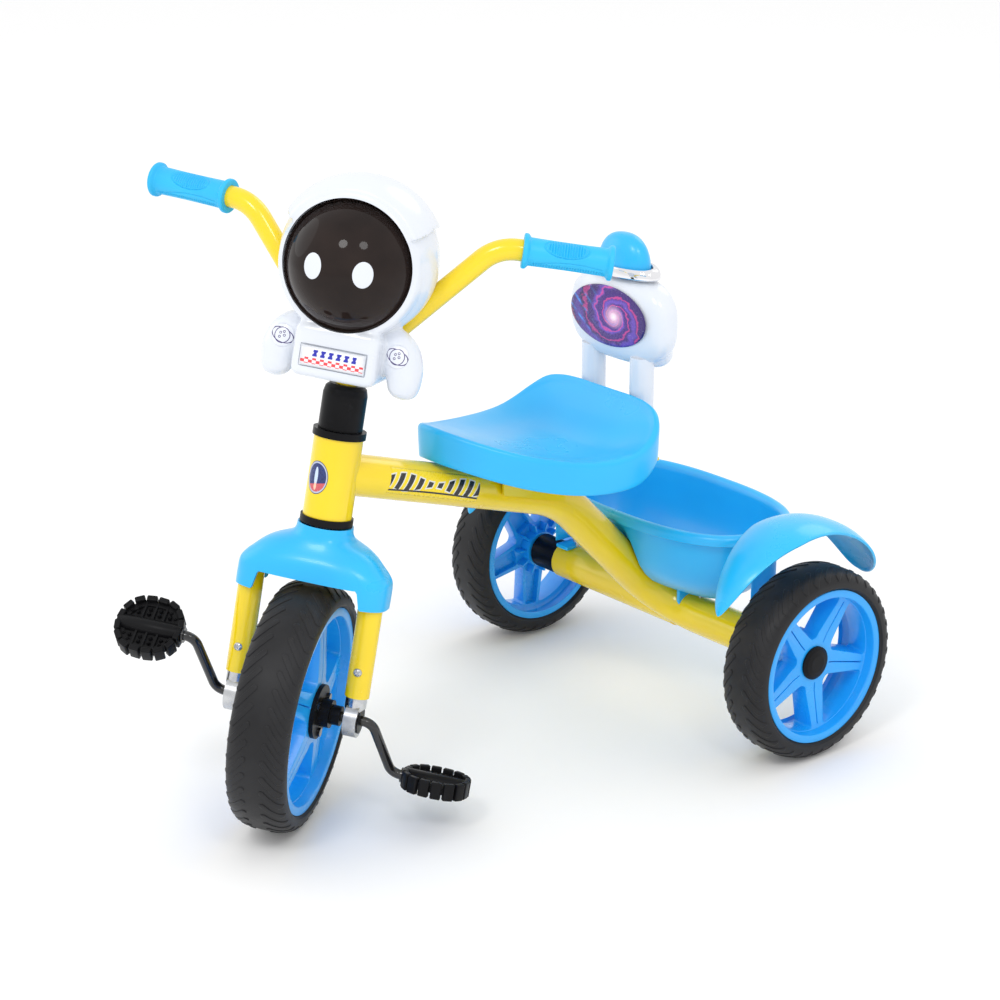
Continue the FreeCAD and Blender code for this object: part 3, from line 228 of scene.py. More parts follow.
def smoothTable(rows):
    # smooth curve through (place, value) rows, as a function
    rows = sorted(rows)
    places = [place for place, value in rows]
    values = [value for place, value in rows]
    slopes = []
    for n in range(len(rows)):
        low, high = max(n - 1, 0), min(n + 1, len(rows) - 1)
        slopes.append((values[high] - values[low]) / (places[high] - places[low]))

    def at(place):
        if place <= places[0]:
            return values[0]
        if place >= places[-1]:
            return values[-1]
        n = next(k for k in range(len(places) - 1) if place <= places[k + 1])
        gap = places[n + 1] - places[n]
        t = (place - places[n]) / gap
        return ((2 * t ** 3 - 3 * t * t + 1) * values[n] + (t ** 3 - 2 * t * t + t) * gap * slopes[n]
                + (3 * t * t - 2 * t ** 3) * values[n + 1] + (t ** 3 - t * t) * gap * slopes[n + 1])

    return at


def smoothStep(low, high, value):
    t = min(max((value - low) / (high - low), 0.0), 1.0)
    return t * t * (3 - 2 * t)


def bent(value, power):
    # a power that keeps the sign
    return math.copysign(abs(value) ** power, value)


def evenLoop(loop, count):
    # the same closed line with evenly spaced points
    closed = loop + [loop[0]]
    lengths = [(b - a).length for a, b in zip(closed, closed[1:])]
    total, result, n, gone = sum(lengths), [], 0, 0.0
    for step in range(count):
        want = total * step / count
        while gone + lengths[n] < want:
            gone += lengths[n]
            n += 1
        result.append(closed[n].lerp(closed[n + 1], (want - gone) / lengths[n]))
    return result


def axisOf(node):
    # middle and long axis of a turned frame piece, read from its mesh
    spots = [vertex.co for vertex in nodes[node].data.vertices]
    middle = sum(spots, Vector()) / len(spots)
    axis = Vector((1, 0, 0))
    for turn in range(40):
        axis = sum((s * s.dot(axis) for s in (spot - middle for spot in spots)), Vector()).normalized()
    return middle, axis


# materials

def nodeIn(tree, kind, settings=None, **links):
    made = tree.nodes.new(kind)
    for key, value in (settings or {}).items():
        setattr(made, key, value)
    for key, value in links.items():
        socket = made.inputs[int(key[1:])] if key[0] == "i" and key[1:].isdigit() else made.inputs[key]
        if isinstance(value, bpy.types.NodeSocket):
            tree.links.new(value, socket)
        else:
            socket.default_value = value
    return made


def newMaterial(name):
    material = bpy.data.materials.new(name)
    material.use_nodes = True
    return material, material.node_tree, material.node_tree.nodes["Principled BSDF"]


def feed(tree, shader, colour, gloss, bump):
    tree.links.new(colour, shader.inputs["Base Color"])
    tree.links.new(gloss, shader.inputs["Roughness"])
    tree.links.new(bump.outputs["Normal"], shader.inputs["Normal"])


def speckle(tree, scale, detail=4.0, roughness=0.55):
    place = nodeIn(tree, "ShaderNodeTexCoord")
    return nodeIn(tree, "ShaderNodeTexNoise", Vector=place.outputs["Object"], Scale=scale, Detail=detail,
                  Roughness=roughness)


def span(tree, value, low, high, outLow, outHigh):
    made = nodeIn(tree, "ShaderNodeMapRange", i1=low, i2=high, i3=outLow, i4=outHigh)
    tree.links.new(value, made.inputs[0])
    return made.outputs[0]


def mixColour(tree, factor, first, second):
    made = nodeIn(tree, "ShaderNodeMix", {"data_type": "RGBA"})
    for socket, value in ((made.inputs[0], factor), (made.inputs[6], first), (made.inputs[7], second)):
        if isinstance(value, bpy.types.NodeSocket):
            tree.links.new(value, socket)
        elif isinstance(value, (int, float)):
            socket.default_value = value
        else:
            socket.default_value = (*value, 1.0)
    return made.outputs[2]


def makeFinish(name, look):
    # one builder for the moulded, painted, rubber and plated finishes
    material, tree, shader = newMaterial(name)
    broad = speckle(tree, look.get("patchScale", 14.0), 3.0)
    colour = mixColour(tree, span(tree, broad.outputs["Fac"], 0.35, 0.68, 0.0, 1.0),
                       look["colour"], look["shade"])
    fine = speckle(tree, look.get("grainScale", 900.0), 2.0)
    gloss = span(tree, broad.outputs["Fac"], 0.3, 0.7, look["gloss"][0], look["gloss"][1])
    height = fine.outputs["Fac"]
    if "scuff" in look:  # small rubbed marks, far apart
        rub = speckle(tree, look.get("scuffScale", 60.0), 6.0, 0.7)
        mark = span(tree, rub.outputs["Fac"], 0.64, 0.72, 0.0, look["scuff"])
        colour = mixColour(tree, mark, colour, look["scuffColour"])
        gloss = nodeIn(tree, "ShaderNodeMath", {"operation": "ADD", "use_clamp": True},
                       i0=gloss, i1=span(tree, rub.outputs["Fac"], 0.5, 0.8, 0.0, 0.08)).outputs[0]
    bump = nodeIn(tree, "ShaderNodeBump", Strength=look["bump"], Distance=look.get("bumpDepth", 0.0002),
                  Height=height)
    if "wave" in look:  # slow unevenness of a moulded or painted face
        slow = speckle(tree, look["wave"][0], 1.0)
        under = nodeIn(tree, "ShaderNodeBump", Strength=look["wave"][1], Distance=0.002,
                       Height=slow.outputs["Fac"])
        tree.links.new(under.outputs["Normal"], bump.inputs["Normal"])
    feed(tree, shader, colour, gloss, bump)
    for socket, value in look.get("fixed", {}).items():
        shader.inputs[socket].default_value = value
    material.diffuse_color = (*look["colour"], 1.0)
    return material


finishes = {
    "yellow_paint": {
        "colour": (0.92, 0.68, 0.002), "shade": (0.86, 0.61, 0.001), "gloss": (0.16, 0.26),
        "patchScale": 9.0, "grainScale": 260.0, "bump": 0.10, "bumpDepth": 0.0003, "wave": (38.0, 0.06),
        "scuff": 0.10, "scuffColour": (0.72, 0.52, 0.02), "scuffScale": 34.0,
        "fixed": {"Coat Weight": 0.5, "Coat Roughness": 0.08},
    },
    "blue_plastic": {
        "colour": (0.014, 0.50, 0.93), "shade": (0.011, 0.44, 0.89), "gloss": (0.24, 0.36),
        "patchScale": 7.0, "grainScale": 700.0, "bump": 0.12, "wave": (22.0, 0.05),
        "scuff": 0.08, "scuffColour": (0.10, 0.54, 0.92), "scuffScale": 46.0,
        "fixed": {"Coat Weight": 0.22, "Coat Roughness": 0.12},
    },
    "rim_blue": {
        "colour": (0.010, 0.38, 0.92), "shade": (0.008, 0.33, 0.87), "gloss": (0.24, 0.36),
        "patchScale": 9.0, "grainScale": 700.0, "bump": 0.12, "scuff": 0.22, "scuffColour": (0.08, 0.42, 0.92),
        "fixed": {"Coat Weight": 0.22, "Coat Roughness": 0.12},
    },
    "white_plastic": {
        "colour": (0.77, 0.80, 0.86), "shade": (0.72, 0.76, 0.83), "gloss": (0.16, 0.26),
        "patchScale": 8.0, "grainScale": 800.0, "bump": 0.06, "wave": (26.0, 0.05),
        "scuff": 0.25, "scuffColour": (0.72, 0.73, 0.74), "scuffScale": 52.0,
        "fixed": {"Coat Weight": 0.35, "Coat Roughness": 0.07},
    },
    "black_plastic": {
        "colour": (0.005, 0.005, 0.006), "shade": (0.009, 0.009, 0.010), "gloss": (0.28, 0.42),
        "grainScale": 1100.0, "bump": 0.25, "scuff": 0.35, "scuffColour": (0.02, 0.02, 0.022),
        "fixed": {"Specular IOR Level": 0.12},
    },
    "tyre_black": {
        "colour": (0.013, 0.013, 0.0145), "shade": (0.021, 0.021, 0.023), "gloss": (0.36, 0.52),
        "patchScale": 24.0, "grainScale": 1500.0, "bump": 0.35, "scuff": 0.5,
        "scuffColour": (0.045, 0.044, 0.042), "scuffScale": 95.0, "fixed": {"Specular IOR Level": 0.24},
    },
    "grip_blue": {
        "colour": (0.020, 0.50, 0.86), "shade": (0.014, 0.43, 0.80), "gloss": (0.42, 0.56),
        "grainScale": 1400.0, "bump": 0.30, "scuff": 0.25, "scuffColour": (0.08, 0.5, 0.82),
    },
    "black_steel": {
        "colour": (0.006, 0.006, 0.007), "shade": (0.012, 0.012, 0.013), "gloss": (0.16, 0.28),
        "grainScale": 300.0, "bump": 0.08, "scuff": 0.5, "scuffColour": (0.10, 0.10, 0.10),
        "scuffScale": 80.0, "fixed": {"Coat Weight": 0.4, "Coat Roughness": 0.1},
    },
    "zinc_steel": {
        "colour": (0.60, 0.61, 0.62), "shade": (0.44, 0.45, 0.47), "gloss": (0.20, 0.36),
        "patchScale": 90.0, "grainScale": 1800.0, "bump": 0.12,
        "scuff": 0.4, "scuffColour": (0.36, 0.34, 0.30), "fixed": {"Metallic": 1.0},
    },
    "chrome_trim": {
        "colour": (0.83, 0.83, 0.85), "shade": (0.76, 0.76, 0.79), "gloss": (0.05, 0.11),
        "patchScale": 60.0, "grainScale": 400.0, "bump": 0.03, "fixed": {"Metallic": 1.0},
    },
    "green_board": {
        "colour": (0.01, 0.12, 0.04), "shade": (0.02, 0.17, 0.05), "gloss": (0.35, 0.5),
        "grainScale": 900.0, "bump": 0.15,
    },
}
finished = {name: makeFinish(name, look) for name, look in finishes.items()}
print("finishes ready", len(finished))


def makeSmoked(look):
    # dark see-through plastic with faint rubbed lines
    material, tree, shader = newMaterial("smoked_plastic")
    cloud = speckle(tree, 30.0, 3.0)
    patches = span(tree, cloud.outputs["Fac"], 0.3, 0.7, 0.0, 1.0)
    colour = mixColour(tree, patches, look["colour"], look["shade"])
    scratch = speckle(tree, 180.0, 8.0, 0.75)
    gloss = span(tree, scratch.outputs["Fac"], 0.6, 0.8, look["gloss"][0], look["gloss"][1])
    bump = nodeIn(tree, "ShaderNodeBump", Strength=0.03, Distance=0.0002, Height=scratch.outputs["Fac"])
    feed(tree, shader, colour, gloss, bump)
    shader.inputs["Specular IOR Level"].default_value = 0.16
    shader.inputs["IOR"].default_value = 1.5
    return material


finished["smoked_plastic"] = makeSmoked({
    "colour": (0.016, 0.011, 0.010), "shade": (0.024, 0.016, 0.014), "gloss": (0.05, 0.16),
})


# every frame piece gets its finish

slotOf = {entry["node"]: entry["material_slot"] for entry in frame["record"]["subparts"]}
for name, node in nodes.items():
    node.data.materials.clear()
    look = {"pedal_washers": "black_steel", "hub_bolts": "black_steel"}.get(name, slotOf[name])
    node.data.materials.append(finished.get(look, finished["white_plastic"]))
print("frame pieces dressed", len(nodes))


# geometry nodes for what repeats

def newTree(name, sockets):
    tree = bpy.data.node_groups.new(name, "GeometryNodeTree")
    tree.interface.new_socket(name="Geometry", in_out="INPUT", socket_type="NodeSocketGeometry")
    for label, kind, value in sockets:
        socket = tree.interface.new_socket(name=label, in_out="INPUT", socket_type=kind)
        if value is not None:
            socket.default_value = value
    tree.interface.new_socket(name="Geometry", in_out="OUTPUT", socket_type="NodeSocketGeometry")
    return tree, tree.nodes.new("NodeGroupInput"), tree.nodes.new("NodeGroupOutput")


def link(tree, source, target):
    tree.links.new(source, target)


def mathNode(tree, operation, first, second=0.0):
    made = tree.nodes.new("ShaderNodeMath")
    made.operation = operation
    for socket, value in zip(made.inputs, (first, second)):
        if isinstance(value, bpy.types.NodeSocket):
            link(tree, value, socket)
        else:
            socket.default_value = value
    return made.outputs[0]


def endTree(tree, parts, given, out):
    # joins the parts, then Realize Instances and Set Material
    join = tree.nodes.new("GeometryNodeJoinGeometry")
    for part in parts:
        link(tree, part, join.inputs[0])
    real = tree.nodes.new("GeometryNodeRealizeInstances")
    paint = tree.nodes.new("GeometryNodeSetMaterial")
    link(tree, join.outputs[0], real.inputs[0])
    link(tree, real.outputs[0], paint.inputs["Geometry"])
    link(tree, given.outputs["Material"], paint.inputs["Material"])
    link(tree, paint.outputs[0], out.inputs[0])


def roundTree():
    # copies of one object turned about the local X axis
    tree, given, out = newTree("copies round an axle", [
        ("Copy", "NodeSocketObject", None), ("Count", "NodeSocketInt", 12),
        ("First turn", "NodeSocketFloat", 0.0), ("Material", "NodeSocketMaterial", None)])
    info = tree.nodes.new("GeometryNodeObjectInfo")
    link(tree, given.outputs["Copy"], info.inputs["Object"])
    spots = tree.nodes.new("GeometryNodePoints")
    link(tree, given.outputs["Count"], spots.inputs["Count"])
    step = mathNode(tree, "DIVIDE", fullTurn, given.outputs["Count"])
    index = tree.nodes.new("GeometryNodeInputIndex")
    share = mathNode(tree, "MULTIPLY", index.outputs[0], step)
    turn = mathNode(tree, "ADD", share, given.outputs["First turn"])
    angle = tree.nodes.new("ShaderNodeCombineXYZ")
    link(tree, turn, angle.inputs[0])
    copies = tree.nodes.new("GeometryNodeInstanceOnPoints")
    link(tree, spots.outputs[0], copies.inputs["Points"])
    link(tree, info.outputs["Geometry"], copies.inputs["Instance"])
    link(tree, angle.outputs[0], copies.inputs["Rotation"])
    endTree(tree, [given.outputs["Geometry"], copies.outputs[0]], given, out)
    return tree


def spotTree():
    # one copy on every vertex of a spot mesh, its Z along the spot's "facing"
    tree, given, out = newTree("copies on spots", [
        ("Copy", "NodeSocketObject", None), ("Size", "NodeSocketFloat", 1.0),
        ("Spin", "NodeSocketFloat", 0.0), ("Seed", "NodeSocketInt", 3),
        ("Material", "NodeSocketMaterial", None)])
    info = tree.nodes.new("GeometryNodeObjectInfo")
    link(tree, given.outputs["Copy"], info.inputs["Object"])
    facing = tree.nodes.new("GeometryNodeInputNamedAttribute")
    facing.data_type = "FLOAT_VECTOR"
    facing.inputs["Name"].default_value = "facing"
    aim = tree.nodes.new("FunctionNodeAlignRotationToVector")
    aim.axis = "Z"
    link(tree, facing.outputs["Attribute"], aim.inputs["Vector"])
    turn = tree.nodes.new("FunctionNodeRandomValue")
    turn.data_type = "FLOAT"
    link(tree, given.outputs["Spin"], turn.inputs[3])
    link(tree, given.outputs["Seed"], turn.inputs["Seed"])
    twist = tree.nodes.new("ShaderNodeCombineXYZ")
    link(tree, turn.outputs[1], twist.inputs[2])
    both = tree.nodes.new("FunctionNodeRotateRotation")
    both.rotation_space = "LOCAL"
    link(tree, aim.outputs[0], both.inputs[0])
    link(tree, twist.outputs[0], both.inputs[1])
    copies = tree.nodes.new("GeometryNodeInstanceOnPoints")
    link(tree, given.outputs["Geometry"], copies.inputs["Points"])
    link(tree, info.outputs["Geometry"], copies.inputs["Instance"])
    link(tree, both.outputs[0], copies.inputs["Rotation"])
    link(tree, given.outputs["Size"], copies.inputs["Scale"])
    endTree(tree, [copies.outputs[0]], given, out)
    return tree


roundCopies, spotCopies = roundTree(), spotTree()


def grow(piece, tree, **values):
    # runs a tree on a piece and keeps the result as its plain mesh
    added = piece.modifiers.new(tree.name, "NODES")
    added.node_group = tree
    for item in tree.interface.items_tree:
        label = item.name.replace(" ", "")
        if item.item_type == "SOCKET" and item.in_out == "INPUT" and label in values:
            added[item.identifier] = values[label]
    return keepResult(piece)


def spotsMesh(name, spots):
    # spots are (place, facing) pairs in metres
    mesh = bpy.data.meshes.new(name)
    mesh.from_pydata([place for place, facing in spots], [], [])
    facing = mesh.attributes.new("facing", "FLOAT_VECTOR", "POINT")
    facing.data.foreach_set("vector", [part for place, direction in spots for part in direction])
    piece = bpy.data.objects.new(name, mesh)
    bpy.context.scene.collection.objects.link(piece)
    return piece


def drop(*pieces):
    for piece in pieces:
        bpy.data.objects.remove(piece)


def cut(piece, cutters, operation="DIFFERENCE"):
    # cutters become one mesh, then one exact boolean
    tool = cutters[0] if len(cutters) == 1 else weld(cutters, piece.name + "Tool")
    added = modifier(piece, "BOOLEAN", operation=operation, solver="EXACT", object=tool)
    added.use_self = len(cutters) > 1
    settle(piece)
    drop(tool)
    return piece


# tyres

tyreLook = {
    # radius, half width, bead radius and number of bars
    "front": (113.8, 27.5, 95.7, 44), "rear": (95.0, 25.8, 76.7, 38),
    "barWidth": 5.2, "barRaise": 0.75, "barStart": 7.5, "barEnd": 0.93, "barSlant": 24.0, "firstTurn": 0.03,
    "slopeStep": 0.4, "round": 2.6, "drop": 15.0,
}


def treadRadius(x, radius, half, look):
    share = min(abs(x) / half, 1.0)
    return radius - look["drop"] * (1 - (1 - share ** look["round"]) ** (1 / look["round"]))


def treadBar(name, radius, half, look, side):
    # one rounded bar laid on the crown, from near the middle down to the shoulder
    start, end = look["barStart"], half * look["barEnd"]
    wide = look["barWidth"] / 2
    steps = 9
    lean = math.atan(look["barSlant"] / (end - start))
    along = Vector((math.cos(lean), -math.sin(lean)))  # x and arc
    across = Vector((math.sin(lean), math.cos(lean)))
    length = (end - start) / math.cos(lean)
    turns = [math.pi / 2 * n / (steps - 1) for n in range(steps)]
    upper = [(wide * (1 - math.cos(turn)), wide * math.sin(turn)) for turn in turns]
    upper += [(wide + (length - 2 * wide) * n / 8, wide) for n in range(1, 8)]
    upper += [(length - wide + wide * math.sin(turn), wide * math.cos(turn)) for turn in turns]
    points, faces = [], []
    # inset and height of each row of the bar's skin
    rows = ((0.0, -1.2), (0.0, look["barRaise"] * 0.45), (0.3, look["barRaise"] * 0.9), (0.9, look["barRaise"]))
    count = len(upper)
    for inset, height in rows:
        for sign in (1, -1):
            for a, b in upper:
                reach = max(b - inset, 0.0)
                ahead = a + (inset if a < wide else (-inset if a > length - wide else 0)) * 0.9
                flat = along * ahead + across * (reach * sign)
                x = start + flat.x
                step = look["slopeStep"]
                slopeHere = (treadRadius(x + step, radius, half, look)
                             - treadRadius(x - step, radius, half, look)) / (2 * step)
                normal = Vector((-slopeHere, 1)).normalized()
                r = treadRadius(x, radius, half, look) + normal.y * height
                angle = flat.y / radius
                points.append((side * (x + normal.x * height), -r * math.cos(angle), r * math.sin(angle)))
    for strip in range(2 * (len(rows) - 1)):
        faces += bridge(strip * count, (strip + 2) * count, count, False)
    top = (len(rows) - 1) * 2 * count
    faces += bridge(top, top + count, count, False)
    bar = makeObject(name, points, faces)
    faceOutward(bar, 0.00002)
    sharpen(bar, 40)
    return bar


def makeTyre(name, radius, half, bead, count, look):
    outer = []
    for n in range(33):
        share = math.sin(math.pi / 2 * (n - 16) / 16)
        x = half * share
        outer.append((x, treadRadius(x, radius, half, look)))
    low = radius - look["drop"]
    wall = [(half, low - 1.0), (half - 0.3, (low + bead) / 2 + 0.6), (half - 1.1, bead + 2.0),
            (half - 2.2, bead + 0.5), (half - 4.0, bead)]
    profile = outer + wall + [(-x, r) for x, r in reversed(wall)]
    tyre = turnAboutX(name, profile, None, 160)
    faceOutward(tyre)
    bars = [treadBar(name + "Bar" + str(side), radius, half, look, side) for side in (1, -1)]
    copy = weld(bars, name + "Bars")
    grow(tyre, roundCopies, Copy=copy, Count=count, Firstturn=look["firstTurn"],
         Material=finished["tyre_black"])
    drop(copy)
    return tyre


def placeCopy(piece, name, where):
    other = bpy.data.objects.new(name, piece.data.copy())
    bpy.context.scene.collection.objects.link(other)
    other.data.transform(where)
    return other


def makeTyres(look):
    frontTyre = makeTyre("front_tyre_tread", *look["front"], look)
    frontTyre.data.transform(frontHub)
    mount(frontTyre, "front_wheel", "tyre_black", ["front_tyre"])
    rearTyre = makeTyre("rear_tyre", *look["rear"], look)
    for side in ("left", "right"):
        tyre = placeCopy(rearTyre, f"rear_tyre_tread_{side}", rearHub[side])
        mount(tyre, f"{side}_rear_wheel", "tyre_black", [f"rear_tyre_{side}"])
    drop(rearTyre)


makeTyres(tyreLook)


# rims

spokes = 5
rimLook = {
    "front": {"radius": 95.7, "half": 25.5, "lip": 8.5, "hub": 30.0, "hubFace": 21.9, "spokeIn": 13.0,
              "spokeOut": 8.5, "first": 20.0, "bore": 8.0, "barrel": 4.0},
    "rear": {"radius": 76.7, "half": 23.8, "lip": 8.0, "hub": 24.0, "hubFace": 9.8, "spokeIn": 11.0,
             "spokeOut": 7.0, "first": 50.0, "bore": 8.0, "barrel": 4.0},
}


def polar(radius, turn):
    return Vector((-radius * math.cos(turn), radius * math.sin(turn)))


def roundedLoop(corners, radius, steps=5):
    # rounds the corners of a flat outline
    loop = []
    count = len(corners)
    for n, corner in enumerate(corners):
        before, after = corners[n - 1], corners[(n + 1) % count]
        size = radius[n] if isinstance(radius, (list, tuple)) else radius
        toBefore, toAfter = (before - corner).normalized(), (after - corner).normalized()
        size = min(size, (before - corner).length * 0.45, (after - corner).length * 0.45)
        if size == 0:
            loop.append(corner)
            continue
        a, b = corner + toBefore * size, corner + toAfter * size
        for step in range(steps + 1):
            t = step / steps
            loop.append(a * (1 - t) ** 2 + corner * 2 * t * (1 - t) + b * t * t)
    return loop


def taperedPlug(name, low, high, x0, x1, layers=1):
    # closed solid between two flat loops with the same number of points
    points = []
    for layer in range(layers + 1):
        t = layer / layers
        x = x0 + (x1 - x0) * t
        points += [(x, *(a * (1 - t) + b * t)) for a, b in zip(low, high)]
    count = len(low)
    faces = ringFaces(layers + 1, count)
    faces.append(tuple(range(count))[::-1])
    faces.append(tuple(range(layers * count, (layers + 1) * count)))
    plug = makeObject(name, points, faces)
    faceOutward(plug)
    return plug


def spokeGap(look, turn, shrink):
    # outline of one window between two spokes, drawn in by shrink
    step = fullTurn / spokes
    inner, outer = look["hub"] + shrink, look["radius"] - look["lip"] - 1.0 - shrink * 0.3
    nearTurn = math.asin((look["spokeIn"] + shrink) / inner)
    farTurn = math.asin((look["spokeOut"] + shrink) / outer)
    corners, sizes = [], []
    arc = [farTurn, farTurn + 0.17] + [0.0] * 5 + [step - farTurn - 0.17, step - farTurn]
    for n in range(2, 7):
        arc[n] = arc[1] + (arc[7] - arc[1]) * (n - 1) / 6
    for radius, angle, size in (
        [(inner, nearTurn, 4.5)]
        + [(outer, angle, 6.5 if n in (0, 8) else 0.0) for n, angle in enumerate(arc)]
        + [(inner, step - nearTurn, 4.5)]
    ):
        corners.append(polar(radius, turn + angle))
        sizes.append(size)
    return roundedLoop(corners, sizes)


def spokeStrip(turn, inner, outer, innerHalf, outerHalf):
    # flat outline lying along a spoke
    lengthwise, sideways = polar(1.0, turn), polar(1.0, turn + math.pi / 2)
    corners = ((inner, innerHalf), (outer, outerHalf), (outer, -outerHalf), (inner, -innerHalf))
    return [lengthwise * a + sideways * b for a, b in corners]


def makeRim(name, look):
    r, half, lip = look["radius"], look["half"], look["lip"]
    inside = r - look["barrel"]
    edge = r - lip
    face, hub = look["hubFace"], look["hub"]
    back = -half * 0.28
    profile = [
        (half - 0.2, r - 0.3), (half, r - 1.6), (half, edge + 2.2), (half - 0.6, edge + 0.6),
        (half - 2.4, edge), (half - 9.5, edge - 0.6), (half - 10.5, edge - 3.0),
        (face - 0.4, hub + 6.0), (face, hub - 3.0), (face, look["bore"] + 9.0), (face - 0.5, look["bore"]),
        (-half * 0.80, look["bore"]), (-half * 0.82, look["bore"] + 1.0), (-half * 0.82, look["bore"] + 11.0),
        (back, look["bore"] + 11.5), (back, edge), (back - 2.0, inside),
        (-half + 3.0, inside), (-half + 0.6, inside - 3.2), (-half, inside - 2.6), (-half, r - 1.6),
        (-half + 0.2, r - 0.3),
    ]
    rim = turnAboutX(name, profile, None, 120)
    faceOutward(rim)
    step = fullTurn / spokes
    first = math.radians(look["first"])
    tools = []
    for n in range(spokes):
        turn = first + n * step
        tools.append(taperedPlug("window", spokeGap(look, turn, 4.0), spokeGap(look, turn, 0.0),
                                 back - 3.0, max(face, half - 9.0) + 1.5))
        groove = spokeStrip(turn, hub - 4.0, r - lip - 3.0, 0.9, 0.9)
        deep = spokeStrip(turn, hub - 2.0, r - lip - 6.0, 0.35, 0.35)
        tools.append(taperedPlug("groove", roundedLoop(deep, 0.3, 2), roundedLoop(groove, 0.8, 2),
                                 face - 6.5, max(face, half - 9.0) + 2.0))
        hollow = spokeStrip(turn, hub + 3.0, r - lip - 3.0, look["spokeIn"] - 1.5, look["spokeOut"] + 0.5)
        hollow = roundedLoop(hollow, 3.0, 3)
        tools.append(taperedPlug("hollow", hollow, hollow, back - 5.0, face - 9.5))
    cut(rim, tools)
    ribs = []
    for n in range(2 * spokes):
        turn = first + (n + 0.5) * step / 2
        rib = spokeStrip(turn, look["bore"] + 9.0, hub + 4.0, 1.0, 1.0)
        ribs.append(taperedPlug("rib", rib, rib, -half * 0.7, back + 2.0))
    ribs.append(rim)
    rim = weld(ribs, name)
    modifier(rim, "BEVEL", width=0.0009, segments=2, limit_method="ANGLE", angle_limit=math.radians(38),
             harden_normals=False)
    settle(rim, 50)
    return rim


def makeRims(look):
    frontRim = makeRim("front_rim_spokes", look["front"])
    frontRim.data.transform(frontHub)
    mount(frontRim, "front_wheel", "blue_plastic", ["front_rim"], finished["rim_blue"])
    rearRim = makeRim("rear_rim", look["rear"])
    for side, where in rearHub.items():
        facing = where if side == "left" else where @ Matrix.Rotation(math.pi, 4, "Z")
        rim = placeCopy(rearRim, f"rear_rim_spokes_{side}", facing)
        mount(rim, f"{side}_rear_wheel", "blue_plastic", [f"rear_rim_{side}"], finished["rim_blue"])
    drop(rearRim)


makeRims(rimLook)


# fork cover

coverLook = {
    "top": 167.5, "low": 104.0, "arch": 121.0, "archHalf": 42.0, "wall": 1.8, "steps": 192, "rows": 34,
    "across": [(167.5, 25.4), (162, 25.8), (157.5, 29), (154.5, 36), (151, 44.5), (146, 52.5), (140, 59.0),
               (133, 66.0), (127, 69.6), (117, 70.4), (104, 70.4)],
    "middle": [(167.5, 0), (156, -1.5), (142, -6), (128, -8), (104, -9)],
    "ahead": [(167.5, 25.4), (155, 26), (147, 27.2), (138, 30), (128, 31), (104, 31)],
    "behind": [(167.5, 25.4), (150, 25), (128, 25.5), (104, 24)],
}


def makeCover(look):
    across, middle, ahead, behind = (smoothTable(look[key]) for key in ("across", "middle", "ahead", "behind"))
    points = []
    for row in range(look["rows"]):
        for step in range(look["steps"]):
            turn = fullTurn * step / look["steps"]
            c, s = math.cos(turn), math.sin(turn)
            side = smoothStep(0.0, 6.0, 69.4 * abs(c) ** 0.85 - look["archHalf"] + 3.0)
            foot = look["arch"] + (look["low"] - look["arch"]) * side
            up = look["top"] + (foot - look["top"]) * row / (look["rows"] - 1)
            x = across(up)
            y = ahead(up) if s < 0 else behind(up)
            power = 2 / (2.0 + 1.1 * min((look["top"] - up) / 40, 1.0))
            points.append((x * bent(c, power), middle(up) + y * bent(s, power), up))
    cover = makeObject("fork_cover_shell", points, ringFaces(look["rows"], look["steps"]), steered)
    faceOutward(cover)
    modifier(cover, "SOLIDIFY", thickness=look["wall"] * mm, offset=-1.0, use_even_offset=True)
    settle(cover, 55)
    return mount(cover, "fork", "blue_plastic", ["fork_cover"])


crownLook = {
    "outline": [(59.5, -16.5), (55, -27), (44, -27.5), (-44, -27.5), (-55, -27), (-59.5, -16.5), (-52, -6),
                (-22, 13.5), (22, 13.5), (52, -6)],
    "corner": 6.0, "up": (126.0, 132.0),
}


def makeCrown(look):
    # plate under the cover that joins the legs to the steerer
    loop = roundedLoop([Vector(spot) for spot in look["outline"]], look["corner"], 5)
    points = [(p.x, p.y, up) for up in look["up"] for p in loop]
    count = len(loop)
    faces = ringFaces(2, count) + [tuple(range(count))[::-1], tuple(range(count, 2 * count))]
    crown = makeObject("fork_crown_plate", points, faces, steered)
    faceOutward(crown)
    modifier(crown, "BEVEL", width=0.8 * mm, segments=2, limit_method="ANGLE", angle_limit=math.radians(50))
    settle(crown, 50)
    mount(crown, "fork", "yellow_paint", ["fork_crown"])


makeCover(coverLook)
makeCrown(crownLook)


# seat

seatLook = {
    "plan": [(0, -300), (15, -297.5), (28, -288.5), (39, -277), (52, -262), (67, -243), (80, -221), (90, -198),
             (96.5, -175), (100, -153), (101.5, -130), (99, -110), (92.5, -95), (79, -84), (60, -79),
             (38, -77.5), (18, -77.5)],
    "edge": [(-314, 350), (-303, 344), (-291, 338.5), (-268, 328.5), (-245, 320), (-222, 313.5), (-199, 308.5),
             (-176, 305.3), (-153, 304), (-130, 305.5), (-112, 311.5), (-95, 322), (-84, 332), (-77, 338)],
    "dish": [(-305, 0.5), (-280, 1.5), (-240, 3.0), (-200, 4.5), (-150, 6.0), (-110, 7.0), (-77, 5.0)],
    "skirt": 32.5, "wall": 2.6, "middle": -165.0,
    "shares": (0.06, 0.14, 0.22, 0.30, 0.38, 0.46, 0.54, 0.62, 0.69, 0.75, 0.80, 0.84, 0.875, 0.905, 0.93),
    "lip": ((5.5, -0.1), (4.0, 0.0), (2.6, -0.4), (1.3, -1.5), (0.4, -3.0), (0.0, -5.0)),
    "under": (0.9, 0.7, 0.5, 0.3, 0.1),
}


